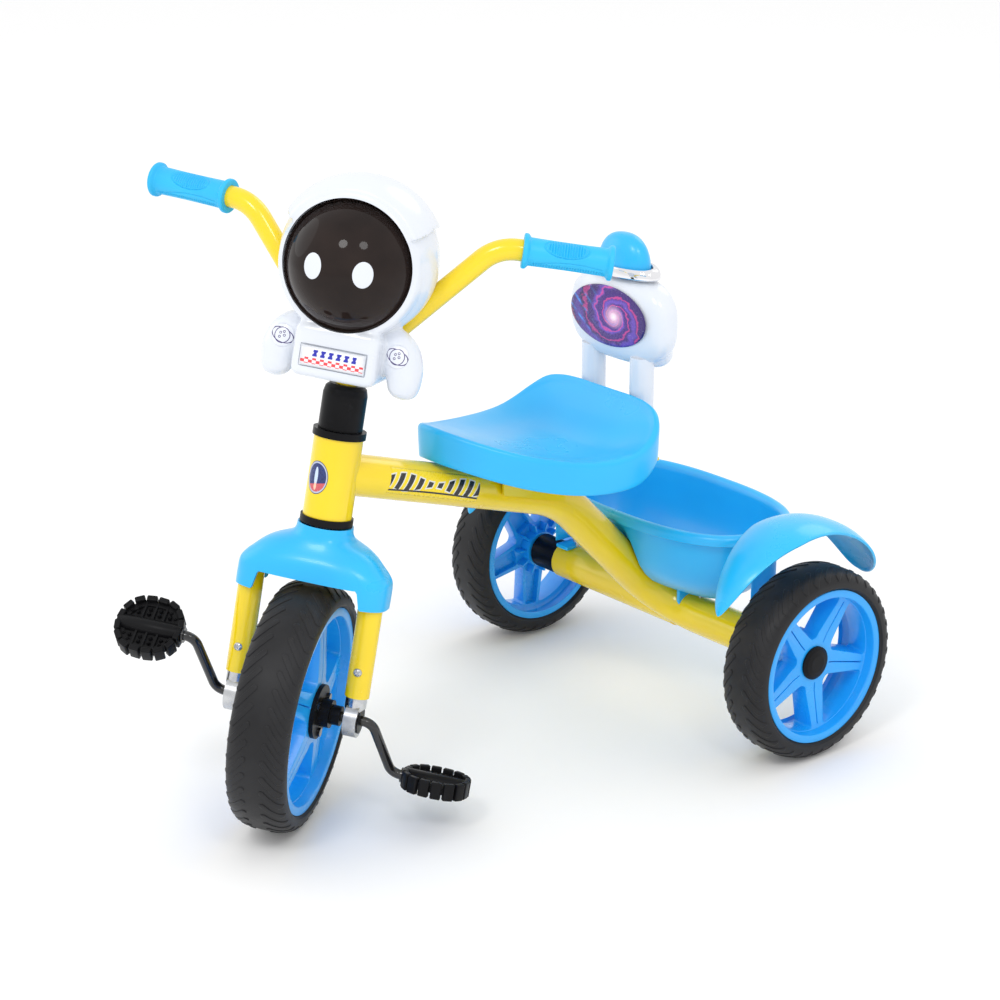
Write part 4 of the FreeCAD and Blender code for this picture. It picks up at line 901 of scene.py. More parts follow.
def makeSeat(look):
    right = smoothPath([(x, y, 0) for x, y in [(-15, -297.5)] + look["plan"] + [(0, -77.5), (-18, -77.5)]], 9)
    right = [p for p in right if p.x >= -0.01]
    loop = right + [Vector((-p.x, p.y, 0)) for p in reversed(right[1:-1])]
    loop = evenLoop(loop, 180)
    edge, dish = smoothTable(look["edge"]), smoothTable(look["dish"])
    centre = Vector((0, look["middle"], 0))
    rows = []
    # share of the way out, inset in mm, rise above the edge line (none where it follows the dish)
    rows += [(share, 0.0, None) for share in look["shares"]]
    rows += [(1.0, inset, rise) for inset, rise in look["lip"]]
    rows += [(1.0, 0.12 * n, -5.0 - (look["skirt"] - 6.0) * n / 7) for n in range(1, 8)]
    rows += [(1.0, 1.1, -look["skirt"] + 0.2), (1.0, 2.0, -look["skirt"]), (1.0, 3.2, -look["skirt"] + 0.3)]
    rows += [(1.0, 3.4, -look["skirt"] + 2.0), (1.0, 3.0, -12.0), (1.0, 3.2, -5.0)]
    points = []
    count = len(loop)
    for share, inset, rise in rows:
        for n, spot in enumerate(loop):
            along = (loop[(n + 1) % count] - loop[n - 1]).normalized()
            inward = Vector((-along.y, along.x, 0))
            if inward.dot(centre - spot) < 0:
                inward = -inward
            place = spot + inward * inset if share == 1.0 else centre + (spot - centre) * share
            if rise is None:
                depth = dish(place.y) * (1 - smoothStep(0.55, 0.97, share))
                up = edge(place.y) - depth
            else:
                up = edge(spot.y) + rise
            points.append((place.x, place.y, up))
    faces = ringFaces(len(rows), count)
    top = len(points)
    points.append((0, centre.y, edge(centre.y) - dish(centre.y)))
    faces += fan(0, top, count)
    # underside, a wall below the top skin
    last = (len(rows) - 1) * count
    under = len(points)
    for share in look["under"]:
        for spot in loop:
            place = centre + (spot - centre) * share
            depth = dish(place.y) * (1 - smoothStep(0.55, 0.97, share))
            points.append((place.x, place.y, edge(place.y) - depth - look["wall"] - 0.8))
    faces += bridge(last, under, count)
    for row in range(len(look["under"]) - 1):
        faces += bridge(under + row * count, under + (row + 1) * count, count)
    low = under + (len(look["under"]) - 1) * count
    bottom = len(points)
    points.append((0, centre.y, edge(centre.y) - dish(centre.y) - look["wall"] - 0.8))
    faces += fan(low, bottom, count)
    seat = makeObject("seat_saddle", points, faces, rearAxle)
    faceOutward(seat)
    modifier(seat, "SMOOTH", factor=0.5, iterations=2)
    settle(seat, 70)
    return mount(seat, "frame", "blue_plastic", ["seat"])


makeSeat(seatLook)


# helmet lamp

helmetLook = {
    "head": 70.0, "ahead": -20.0, "up": 410.0, "flat": 44.0, "visorUp": 405.7, "mouth": 57.9, "face": -49.0,
    "voxel": 1.5, "soften": 9, "hood": 75.5,
    "cap": [(-62, 27), (-28, 37), (26, 37), (58, 30), (58, 92), (-62, 92)],  # y, and z over the middle
    "arm": [(35, -24, 346, 9, 10), (43, -26, 344.5, 13.5, 13), (50.5, -28, 336, 17, 16.5),
            (55.5, -29, 325, 17.3, 17.5), (57.5, -29, 314, 15.8, 16), (58, -29, 304, 13.5, 13.5),
            (58, -29, 299, 9.8, 10.0), (58, -29, 296.3, 4.0, 4.0)],
    "lip": [(-44, 56.0), (-50, 56.0), (-54.5, 57.2), (-56.2, 59.4), (-55.6, 61.8), (-52, 63.6), (-44, 65.0),
            (-44, 56.0)], "lipDown": 4.3,
}


def ball(name, centre, size, where=None, rings=40):
    # stretched ball; size gives its three half sizes
    points = []
    for ring in range(1, rings):
        lift = math.pi * ring / rings
        for step in range(rings * 2):
            turn = math.pi * step / rings
            points.append((centre[0] + size[0] * math.sin(lift) * math.cos(turn),
                           centre[1] + size[1] * math.sin(lift) * math.sin(turn),
                           centre[2] + size[2] * math.cos(lift)))
    faces = ringFaces(rings - 1, rings * 2)
    for row, sign in ((0, 1), (rings - 2, -1)):
        pole = len(points)
        points.append((centre[0], centre[1], centre[2] + sign * size[2]))
        faces += fan(row * rings * 2, pole, rings * 2)
    made = makeObject(name, points, faces, where)
    faceOutward(made)
    return made


def limb(name, spots, where=None, steps=28):
    # soft tapering limb: spots are (x, y, z, half width, half depth)
    path = [Vector(spot[:3]) for spot in spots]
    wide = smoothTable([(n, spot[3]) for n, spot in enumerate(spots)])
    deep = smoothTable([(n, spot[4]) for n, spot in enumerate(spots)])
    line = smoothPath(path, 6)
    points = []
    for n, spot in enumerate(line):
        at = n / 6
        ahead = (line[min(n + 1, len(line) - 1)] - line[max(n - 1, 0)]).normalized()
        y = (Vector((0, 1, 0)) - ahead * ahead.y).normalized()
        x = y.cross(ahead)
        for step in range(steps):
            turn = fullTurn * step / steps
            points.append(spot + x * wide(at) * math.cos(turn) + y * deep(at) * math.sin(turn))
    faces = ringFaces(len(line), steps)
    faces += [tuple(range(steps)), tuple(range((len(line) - 1) * steps, len(line) * steps))]
    made = makeObject(name, points, faces, where)
    faceOutward(made)
    return made


def softBox(name, low, high, width, where=None):
    corners = [(x, y, z) for x in (low[0], high[0]) for y in (low[1], high[1]) for z in (low[2], high[2])]
    faces = [(0, 1, 3, 2), (4, 6, 7, 5), (0, 4, 5, 1), (2, 3, 7, 6), (0, 2, 6, 4), (1, 5, 7, 3)]
    made = makeObject(name, corners, faces)
    faceOutward(made)
    modifier(made, "BEVEL", width=width * mm, segments=6, limit_method="NONE")
    settle(made)
    if where:
        made.data.transform(where)
    return made


def fuse(pieces, name, voxel, soften):
    # one skin over all the pieces, with softened joints
    lump = weld(pieces, name)
    modifier(lump, "REMESH", mode="VOXEL", voxel_size=voxel * mm, use_smooth_shade=True)
    modifier(lump, "SMOOTH", factor=0.6, iterations=soften)
    settle(lump)
    return lump


def makeHelmet(look):
    up, ahead, head = look["up"], look["ahead"], look["head"]
    parts = [ball("head", (0, ahead, up), (head, head, head))]
    keepFront = softBox("front", (-100, -120, 300), (100, look["flat"], 500), 6.0)
    cut(parts[0], [keepFront], "INTERSECT")
    # hood: a thicker cap over the upper half, with square lower corners at the sides
    hood = ball("hood", (0, ahead - 1, up), (look["hood"], look["hood"] - 1, look["hood"] - 1.5))
    cap = [(y, up + z) for y, z in look["cap"]]
    prism = makeObject("capBlock", [(x, y, z) for x in (-95, 95) for y, z in cap],
                       [tuple(range(6)), tuple(range(6, 12))[::-1]] + bridge(0, 6, 6))
    faceOutward(prism)
    cut(hood, [prism], "INTERSECT")
    back = softBox("rear", (-100, -120, 300), (100, look["flat"] + 1.0, 500), 6.0)
    cut(hood, [back], "INTERSECT")
    parts.append(hood)
    parts.append(softBox("torso", (-38, -60, 304.4), (38, 14, 352), 7.0))
    for side in (1, -1):
        parts.append(limb("arm", [(side * x, y, z, wide, deep) for x, y, z, wide, deep in look["arm"]]))
    parts.append(turnAboutY("lip", look["lip"], up - look["lipDown"]))
    shell = fuse(parts, "helmet_shell", look["voxel"], look["soften"])
    # the opening is where the head is flat in front of the visor's seat
    tool = turnAboutY("opening", [(-130, 0.0), (-130, look["mouth"]), (look["face"], look["mouth"]),
                                    (look["face"], 0.0)], look["visorUp"])
    seatPlate = softBox("plateRecess", (-30.2, -70, 314), (30.2, -58.6, 334.0), 1.2)
    cut(shell, [tool, seatPlate])
    hole = turnAboutZ("stemHole", [(280, 0.0), (280, 10.4), (325, 10.4), (325, 0.0)], None, 48)
    faceOutward(hole)
    cut(shell, [hole])
    shell.data.transform(steered)
    sharpen(shell, 48)
    return mount(shell, "fork", "white_plastic", ["helmet_front_shell", "helmet_rear_shell"])


visorLook = {
    "outer": 57.5, "base": -49.5, "front": -57.0, "dome": 54.6, "apex": -91.5,
    "eye": (22.2, 9.3, 12.6), "eyeDrop": 1.8,  # aside, half width, half height, below the middle
}


def makeVisor(look):
    outer, dome, apex, front = look["outer"], look["dome"], look["apex"], look["front"]
    tall = front - apex
    sphere = (dome * dome + tall * tall) / (2 * tall)
    profile = [(look["base"], 0.0), (look["base"], outer), (front + 3.0, outer), (front + 1.2, outer - 0.6),
               (front + 0.6, outer - 1.4), (front + 1.4, dome + 0.9)]
    widest = math.asin(dome / sphere)
    for n in range(33):
        angle = widest * (1 - n / 32)
        profile.append((apex + sphere * (1 - math.cos(angle)), sphere * math.sin(angle)))
    visor = turnAboutY("visor", profile, helmetLook["visorUp"], 144, steered)
    sharpen(visor, 35)
    mount(visor, "fork", "smoked_plastic", ["visor_bezel", "visor_dome"])
    # two pale ovals printed on the dome
    across, wide, high = look["eye"]
    points, faces = [], []
    rings, steps = 7, 48
    for side in (1, -1):
        start = len(points)
        for ring in range(rings):
            for step in range(steps):
                turn = fullTurn * step / steps
                share = 0.93 * (ring + 0.001) / (rings - 1)
                x = side * across + wide * share * math.cos(turn)
                z = -look["eyeDrop"] + high * share * math.sin(turn)
                lift = 0.35 if ring < rings - 1 else -0.1
                r = math.hypot(x, z)
                y = apex + sphere - math.sqrt((sphere + lift) ** 2 - r * r)
                points.append((x, y, helmetLook["visorUp"] + z))
        faces += [tuple(start + index for index in face) for face in ringFaces(rings, steps)]
    eyes = makeObject("visor_marks", points, faces, steered)
    faceOutward(eyes)
    mount(eyes, "fork", "white_plastic", [])


makeHelmet(helmetLook)
makeVisor(visorLook)


# grips

gripLook = {
    "length": 79.4, "radius": 12.6, "waist": 0.5, "flange": 15.5, "lip": 3.6, "oval": (38.0, 19.0, 9.4),
    "ribPitch": 2.3, "ribHeight": 1.1, "line": 0.95, "rows": 236, "steps": 180,
    "end": (13.6, 9.0, 3.0), "mouth": ((13.8, 0.0), (10.0, 0.0), (9.85, 3.0)),
}


def gripRadius(look, along, arc):
    # arc is the distance round the grip from the middle of the oval patch
    length, lip = look["length"], look["lip"]
    near = min(along, length - along)
    body = look["radius"] - look["waist"] * math.sin(math.pi * along / length)
    if near < lip + 3.0:
        edge = max(0.0, 1.2 - near) / 1.2
        rise = look["flange"] - 0.9 * edge * edge
        return rise + (body - rise) * smoothStep(lip - 0.6, lip + 3.0, near)
    middle, halfLong, halfWide = look["oval"]
    out = math.hypot((along - middle) / halfLong, arc / halfWide)
    gap = (out - 1.0) * halfWide
    radius = body
    if out < 0.97:
        wave = math.cos(fullTurn * (along - middle) / look["ribPitch"])
        radius += look["ribHeight"] * (wave * 0.5 + 0.1) * smoothStep(0.97, 0.88, out)
    radius -= look["line"] * math.exp(-((gap - 0.2) / 0.42) ** 2)
    # two long curved lines sweep round the patch and off to the ends
    for side in (1, -1):
        sweep = side * (halfWide + 4.6 + 0.0042 * (along - middle - side * 9) ** 2)
        if lip + 5 < near:
            radius -= look["line"] * 0.8 * math.exp(-((arc - sweep) / 0.45) ** 2)
    if abs(arc) > halfWide + 9 and near > lip + 5:
        radius += look["ribHeight"] * 0.5 * math.cos(fullTurn * along / look["ribPitch"])
    return radius


def makeGrips(look):
    for name in ("left", "right"):
        middle, axis = axisOf(f"grip_{name}")
        side = 1 if name == "left" else -1
        if axis.dot(steered.col[0].xyz) * side < 0:
            axis = -axis
        spots = [vertex.co for vertex in nodes[f"grip_{name}"].data.vertices]
        start = middle + axis * min((spot - middle).dot(axis) for spot in spots)
        facing = (steered.col[2].xyz * 0.62 - steered.col[1].xyz * 0.78)
        facing = (facing - axis * facing.dot(axis)).normalized()
        across = axis.cross(facing)
        centre = middle - axis * (middle - start).dot(axis)
        for direction in (facing, across):  # the middle of the turned shape, not of its vertices
            reach = [(spot - centre).dot(direction) for spot in spots]
            centre = centre + direction * (min(reach) + max(reach)) / 2
        points = []
        rows, steps = look["rows"], look["steps"]

        def spotAt(along, turn, radius):
            outward = facing * math.cos(turn) + across * math.sin(turn)
            return (centre + axis * along * mm + outward * radius * mm) / mm

        for row in range(rows):
            along = look["length"] * row / (rows - 1)
            for step in range(steps):
                turn = fullTurn * step / steps
                arc = look["radius"] * (turn if turn < math.pi else turn - fullTurn)
                if abs(arc) > math.pi / 2 * look["radius"]:  # the same patch on the far side
                    arc = math.copysign(math.pi * look["radius"] - abs(arc), -arc)
                points.append(spotAt(along, turn, gripRadius(look, along, arc)))
        faces = ringFaces(rows, steps)
        # rounded closed end, and an open mouth round the bar
        for radius in look["end"]:
            base = len(points) - steps
            points += [spotAt(look["length"], fullTurn * step / steps, radius) for step in range(steps)]
            faces += bridge(base, base + steps, steps)
        faces.append(tuple(range(len(points) - steps, len(points))))
        base = len(points)
        for radius, along in look["mouth"]:
            points += [spotAt(along, fullTurn * step / steps, radius) for step in range(steps)]
        faces += bridge(0, base, steps)
        faces += [tuple(base + index for index in face) for face in ringFaces(3, steps)]
        grip = makeObject(f"grip_sleeve_{name}", points, faces)
        faceOutward(grip)
        sharpen(grip, 60)
        mount(grip, "fork", "grip_blue", [f"grip_{name}"])


makeGrips(gripLook)


# pedals

pedalLook = {
    "length": 61.3, "width": 58.0, "corner": 15.0, "thick": 15.6, "plate": 6.4, "rim": 5.2, "lugs": 16,
    "tilt": {"left": -3.0, "right": 45.0}, "barrel": 8.0, "loop": 96, "recess": 1.6,
    "stud": [(-4.6, 0.5), (-4.6, 1.0), (-3.0, 1.9), (3.0, 1.9), (4.6, 1.0), (4.6, 0.5)],
}


def pedalOutline(look, inset):
    half, reach, corner = look["width"] / 2 - inset, look["length"] / 2 - inset, look["corner"] - inset * 0.4
    corners = [Vector(p) for p in (
        (-reach, -half + corner), (-reach + corner, -half), (reach - corner, -half), (reach, -half + corner),
        (reach, half - corner), (reach - corner, half), (-reach + corner, half), (-reach, half - corner))]
    return [Vector((p.x, p.y, 0)) for p in roundedLoop(corners, 6.0, 5)]


def makePedals(look):
    count, half = look["loop"], look["plate"] / 2
    plateLoop = evenLoop(pedalOutline(look, 3.2), count)
    innerLoop = evenLoop(pedalOutline(look, look["rim"] + 3.4), count)
    for name, side in (("left", 1), ("right", -1)):
        parts = []
        # plate with a raised inner frame
        rings = [(innerLoop, look["recess"] - half), (innerLoop, -half), (plateLoop, -half), (plateLoop, half),
                 (innerLoop, half), (innerLoop, half - look["recess"])]
        points = [(p.x, p.y, z) for loop, z in rings for p in loop]
        faces = ringFaces(len(rings), count)
        faces += [tuple(range(count))[::-1], tuple(range(5 * count, 6 * count))]
        body = makeObject("pedalPlate", points, faces)
        faceOutward(body)
        parts.append(body)
        # blocks stand round the edge, one per spot
        lug = softBox("lug", (-4.8, -2.8, -look["thick"] / 2), (4.8, 2.7, look["thick"] / 2), 1.3)
        ringSpots = evenLoop(pedalOutline(look, 2.7), look["lugs"])
        for n, spot in enumerate(ringSpots):
            ahead = (ringSpots[(n + 1) % len(ringSpots)] - ringSpots[n - 1]).normalized()
            turn = Matrix.Translation(spot * mm) @ Matrix.Rotation(math.atan2(ahead.y, ahead.x), 4, "Z")
            parts.append(placeCopy(lug, "edgeLug", turn))
        drop(lug)
        stud = turnAboutZ("stud", look["stud"], None, 12)
        faceOutward(stud)
        spots = [(x, y) for x in (-15, -5, 5, 15) for y in (-17.0, 17.0)] + [
            (x, y) for x in (-20.5, -15, -5, 5, 15, 20.5) for y in (-12.0, 12.0)]
        marks = spotsMesh("studSpots", [((x * mm, y * mm, 0), (0, 0, 1)) for x, y in spots])
        grow(marks, spotCopies, Copy=stud, Size=1.0, Spin=0.6, Material=finished["black_plastic"])
        drop(stud)
        parts.append(marks)
        barrel = turnAboutX("barrel", [(-30.2, 5.2), (-30.2, 7.2), (-29.2, look["barrel"]),
                                       (29.0, look["barrel"]), (30.2, 7.2), (30.2, 5.2)], None, 40)
        faceOutward(barrel)
        parts.append(barrel)
        for x in (-10, 0, 10):
            parts.append(softBox("rib", (x - 1.1, -23, -3.9), (x + 1.1, 23, 3.9), 0.5))
        pedal = weld(parts, f"pedal_block_{name}")
        hub = Vector(joints[f"{name}_pedal_spin"]["pos_m"])
        turn = steered.to_3x3().to_4x4() @ Matrix.Rotation(math.radians(look["tilt"][name]), 4, "X")
        pedal.data.transform(Matrix.Translation(hub + steered.col[0].xyz * side * 0.65 * mm) @ turn)
        sharpen(pedal, 40)
        mount(pedal, f"{name}_pedal", "black_plastic", [f"pedal_{name}"])


makePedals(pedalLook)


# backrest

backLook = {
    "y": -57.0, "half": 67.5, "deep": 22.5, "low": 361.0, "high": 448.5, "voxel": 1.5, "soften": 10,
    "powers": (0.72, 0.74), "foot": (36, 9, 374), "footSize": (19, 15, 15),
    "recessUp": 407.7, "recess": (54.2, 2.6, 30.7),
}


def pillow(name, centre, size, powers, rings=48):
    # superellipsoid; powers are the roundness seen from above and from the side
    points = []
    level, upright = powers
    for ring in range(1, rings):
        lift = math.pi * (ring / rings - 0.5)
        for step in range(rings * 2):
            turn = math.pi * step / rings
            points.append((centre[0] + size[0] * bent(math.cos(lift), upright) * bent(math.cos(turn), level),
                           centre[1] + size[1] * bent(math.cos(lift), upright) * bent(math.sin(turn), level),
                           centre[2] + size[2] * bent(math.sin(lift), upright)))
    faces = ringFaces(rings - 1, rings * 2)
    for row, sign in ((0, -1), (rings - 2, 1)):
        pole = len(points)
        points.append((centre[0], centre[1], centre[2] + sign * size[2]))
        faces += fan(row * rings * 2, pole, rings * 2)
    made = makeObject(name, points, faces)
    faceOutward(made)
    return made


def makeBackrest(look):
    middle = (look["low"] + look["high"]) / 2
    halfTall = (look["high"] - look["low"]) / 2
    parts = [pillow("cushion", (0, look["y"], middle), (look["half"], look["deep"], halfTall), look["powers"])]
    aside, behind, up = look["foot"]
    for side in (1, -1):
        parts.append(ball("foot", (side * aside, look["y"] + behind, up), look["footSize"]))
    shell = fuse(parts, "backrest_shell", look["voxel"], look["soften"])
    recess = pillow("recess", (0, look["y"] - look["deep"] - 1.0, look["recessUp"]), look["recess"], (0.3, 1.0))
    cut(shell, [recess])
    shell.data.transform(rearAxle)
    sharpen(shell, 40)
    mount(shell, "frame", "white_plastic", ["backrest_front_shell", "backrest_rear_shell"])


makeBackrest(backLook)


knobLook = {
    "top": 486.0, "rim": 456.0, "foot": (447.5, 31.0), "half": 32.0, "flat": 0.56,
    "collar": [(447.2, 33.5), (447.2, 45.6), (448.6, 46.0), (452.4, 45.2), (455.6, 43.0), (457.0, 39.5),
               (456.6, 36.0), (454.8, 33.8)],
    "collarHalf": (46.0, 21.2), "collarTaper": 0.22,
}


def makeKnob(look):
    # smooth egg-shaped knob in a rounded bright collar
    low, tall = look["rim"] - 4, look["top"] - look["rim"] + 4
    place = rearAxle @ Matrix.Translation((0, backLook["y"] * mm, 0))
    knob = []
    for n in range(25):
        turn = math.pi / 2 * n / 24
        knob.append((low + tall * math.sin(turn) ** 0.92, look["half"] * math.cos(turn) ** 0.80 + 0.01))
    piece = turnAboutZ("knob_dome", [look["foot"]] + knob, Matrix.Diagonal((1, look["flat"], 1, 1)), 96)
    piece.data.transform(place)
    faceOutward(piece)
    mount(piece, "frame", "blue_plastic", ["backrest_knob"])
    wide, deep = look["collarHalf"]

    def onCollar(z, r, turn):
        inward = wide - r
        return (wide - inward) * math.cos(turn), (deep - inward * look["collarTaper"]) * math.sin(turn), z

    collar = turned("knob_collar", look["collar"], onCollar, None, 120, True)
    collar.data.transform(place)
    faceOutward(collar)
    mount(collar, "frame", "chrome_trim", ["backrest_collar"])


makeKnob(knobLook)


# printed stickers

def printed(name, draw, gloss=0.22):
    # sticker whose colours are drawn from its own UV map
    material, tree, shader = newMaterial(name)
    chart = nodeIn(tree, "ShaderNodeUVMap", {"uv_map": "print"})
    parts = nodeIn(tree, "ShaderNodeSeparateXYZ")
    tree.links.new(chart.outputs["UV"], parts.inputs[0])
    colour = draw(tree, chart.outputs["UV"], parts.outputs[0], parts.outputs[1])
    grain = speckle(tree, 500.0, 3.0)
    sheen = span(tree, grain.outputs["Fac"], 0.3, 0.7, gloss, gloss + 0.12)
    bump = nodeIn(tree, "ShaderNodeBump", Strength=0.05, Distance=0.0002, Height=grain.outputs["Fac"])
    feed(tree, shader, colour, sheen, bump)
    shader.inputs["Coat Weight"].default_value = 0.3
    return material


def times(tree, first, second):
    return mathNode(tree, "MULTIPLY", first, second)


def plus(tree, first, second):
    return mathNode(tree, "ADD", first, second)


def minus(tree, first, second):
    return mathNode(tree, "SUBTRACT", first, second)


def isBelow(tree, first, second):
    return mathNode(tree, "LESS_THAN", first, second)


def isAbove(tree, first, second):
    return mathNode(tree, "GREATER_THAN", first, second)


def near(tree, value, middle, width):
    # 1 where the value lies within width of the middle
    apart = mathNode(tree, "ABSOLUTE", minus(tree, value, middle))
    return isBelow(tree, apart, width)


def fract(tree, value, count):
    return mathNode(tree, "FRACT", times(tree, value, count))


def either(tree, first, second):
    return mathNode(tree, "MAXIMUM", first, second)


def distance(tree, u, v, middle, scale=(1.0, 1.0)):
    x = times(tree, minus(tree, u, middle[0]), scale[0])
    y = times(tree, minus(tree, v, middle[1]), scale[1])
    total = plus(tree, times(tree, x, x), times(tree, y, y))
    return mathNode(tree, "SQRT", total, 0.0), x, y


def withStars(tree, chart, scale, colour, pale):
    stars = nodeIn(tree, "ShaderNodeTexVoronoi", Vector=chart, Scale=scale)
    return mixColour(tree, span(tree, stars.outputs["Distance"], 0.05, 0.10, 0.8, 0.0), colour, pale)


def drawGalaxy(tree, chart, u, v):
    # spiral arms round a bright core
    far, x, y = distance(tree, u, v, (0.60, 0.52), (1.75, 1.15))
    turn = mathNode(tree, "ARCTAN2", y, x)
    depth = mathNode(tree, "LOGARITHM", plus(tree, far, 0.02), 2.718)
    coil = plus(tree, times(tree, turn, 2.0), times(tree, depth, 9.0))
    haze = nodeIn(tree, "ShaderNodeTexNoise", Vector=chart, Scale=9.0, Detail=6.0).outputs["Fac"]
    arms = span(tree, mathNode(tree, "SINE", plus(tree, coil, times(tree, haze, 5.0))), 0.1, 1.0, 0.0, 1.0)
    colour = mixColour(tree, span(tree, far, 0.15, 1.1, 1.0, 0.0), (0.004, 0.004, 0.035), (0.07, 0.012, 0.26))
    lit = times(tree, arms, span(tree, far, 0.2, 1.2, 0.75, 0.25))
    colour = mixColour(tree, lit, colour, (0.20, 0.09, 0.62))
    rings = mathNode(tree, "SINE", plus(tree, times(tree, coil, 1.5), times(tree, haze, 7.0)))
    lit = times(tree, span(tree, rings, 0.72, 1.0, 0.0, 1.0), span(tree, far, 0.1, 1.0, 0.9, 0.35))
    colour = mixColour(tree, lit, colour, (0.80, 0.05, 0.30))
    # blue streaks toward one side
    streak = mathNode(tree, "SINE", plus(tree, times(tree, u, 34.0), times(tree, v, 26.0)))
    blue = times(tree, span(tree, streak, 0.6, 1.0, 0.0, 1.0), span(tree, u, 0.42, 0.12, 0.0, 0.9))
    blue = times(tree, blue, span(tree, haze, 0.38, 0.6, 0.0, 1.0))
    colour = mixColour(tree, blue, colour, (0.03, 0.30, 0.85))
    colour = mixColour(tree, span(tree, far, 0.05, 0.24, 1.0, 0.0), colour, (0.98, 0.55, 0.72))
    colour = mixColour(tree, span(tree, far, 0.0, 0.09, 1.0, 0.0), colour, (1.0, 0.95, 0.96))
    return withStars(tree, chart, 26.0, colour, (0.85, 0.85, 1.0))


def drawPlate(tree, chart, u, v):
    # two rows of small squares below, slanted bars above
    column = mathNode(tree, "FLOOR", times(tree, u, 16.0), 0.0)
    row = mathNode(tree, "FLOOR", times(tree, v, 6.5), 0.0)
    odd = mathNode(tree, "MODULO", plus(tree, column, row), 2.0)
    low = times(tree, isBelow(tree, v, 0.42), isAbove(tree, v, 0.11))
    colour = mixColour(tree, times(tree, odd, low), (0.83, 0.85, 0.90), (0.86, 0.06, 0.07))
    slant = minus(tree, u, times(tree, v, 0.05))
    bars = times(tree, near(tree, fract(tree, slant, 8.0), 0.5, 0.29), near(tree, v, 0.68, 0.17))
    notch = times(tree, near(tree, fract(tree, slant, 16.0), 0.5, 0.12), near(tree, v, 0.68, 0.05))
    bars = times(tree, times(tree, bars, near(tree, u, 0.52, 0.36)), minus(tree, 1.0, notch))
    return mixColour(tree, bars, colour, (0.015, 0.02, 0.42))


def drawPlanet(tree, chart, u, v):
    # outline of a ringed planet
    far, x, y = distance(tree, u, v, (0.5, 0.5))
    line = near(tree, far, 0.33, 0.018)
    leaning = plus(tree, u, times(tree, v, 0.5))
    ring, x, y = distance(tree, leaning, v, (0.75, 0.5), (0.86, 1.25))
    seen = either(tree, isBelow(tree, v, 0.47), isAbove(tree, far, 0.35))
    line = either(tree, line, times(tree, near(tree, ring, 0.40, 0.022), seen))
    for middle in ((0.42, 0.60), (0.57, 0.66), (0.40, 0.42), (0.60, 0.50)):
        spot, x, y = distance(tree, u, v, middle)
        line = either(tree, line, near(tree, spot, 0.045, 0.014))
    return mixColour(tree, line, (0.77, 0.80, 0.87), (0.05, 0.03, 0.16))


def drawBadge(tree, chart, u, v):
    # round badge: pale rim, night sky, a pale rocket shape and a coloured horizon
    far, x, y = distance(tree, u, v, (0.5, 0.5))
    cloud = nodeIn(tree, "ShaderNodeTexNoise", Vector=chart, Scale=7.0, Detail=4.0)
    colour = mixColour(tree, cloud.outputs["Fac"], (0.006, 0.010, 0.06), (0.02, 0.05, 0.25))
    ground = isBelow(tree, plus(tree, v, times(tree, u, -0.18)), 0.22)
    colour = mixColour(tree, ground, colour, (0.62, 0.10, 0.12))
    body, x, y = distance(tree, u, v, (0.48, 0.53), (4.4, 1.25))
    colour = mixColour(tree, isBelow(tree, body, 0.36), colour, (0.60, 0.72, 0.92))
    flame, x, y = distance(tree, u, v, (0.48, 0.23), (3.4, 2.0))
    colour = mixColour(tree, isBelow(tree, flame, 0.22), colour, (0.95, 0.55, 0.40))
    colour = withStars(tree, chart, 9.0, colour, (0.8, 0.85, 1.0))
    colour = mixColour(tree, isAbove(tree, far, 0.43), colour, (0.50, 0.55, 0.68))
    return mixColour(tree, isAbove(tree, far, 0.475), colour, (0.05, 0.06, 0.16))


def drawStripes(tree, chart, u, v):
    # slanted speed marks with pale edges, on the paint colour
    slant = plus(tree, times(tree, u, 9.0), times(tree, v, -0.9))
    cell = mathNode(tree, "FRACT", slant)
    swell = times(tree, mathNode(tree, "SINE", times(tree, u, 9.4)), 0.12)
    tall = plus(tree, 0.20, swell)
    apart = mathNode(tree, "ABSOLUTE", minus(tree, v, 0.5))
    body = times(tree, near(tree, cell, 0.5, 0.24), isBelow(tree, apart, tall))
    edge = times(tree, near(tree, cell, 0.5, 0.33), isBelow(tree, apart, plus(tree, tall, 0.05)))
    curve = times(tree, mathNode(tree, "SINE", times(tree, u, 3.1)), 0.05)
    swash = near(tree, v, plus(tree, 0.16, curve), 0.035)
    ground = finishes["yellow_paint"]["colour"]
    colour = mixColour(tree, edge, ground, (0.75, 0.75, 0.70))
    return mixColour(tree, either(tree, body, swash), colour, (0.012, 0.010, 0.010))


def sticker(name, spot, where, body, slotName, draw, oval=True, grid=(28, 28), replaced=()):
    # thin skin; spot(u, v) gives each point, and the UV map keeps u and v
    columns, rows = grid
    marks, points = [], []
    for row in range(rows + 1):
        for column in range(columns + 1):
            u, v = column / columns, row / rows
            if oval:  # square to disc
                a, b = 2 * u - 1, 2 * v - 1
                a, b = a * math.sqrt(1 - b * b / 2), b * math.sqrt(1 - a * a / 2)
                u, v = (a + 1) / 2, (b + 1) / 2
            marks.append((u, v))
            points.append(spot(u, v))
    made = makeObject(name, points, ringFaces(rows + 1, columns + 1, wrapColumns=False), where)
    chart = made.data.uv_layers.new(name="print")
    for loop in made.data.loops:
        chart.data[loop.index].uv = marks[loop.vertex_index]
    modifier(made, "SOLIDIFY", thickness=0.12 * mm, offset=0.0)
    settle(made)
    return mount(made, body, slotName, list(replaced), printed(name + "_print", draw))


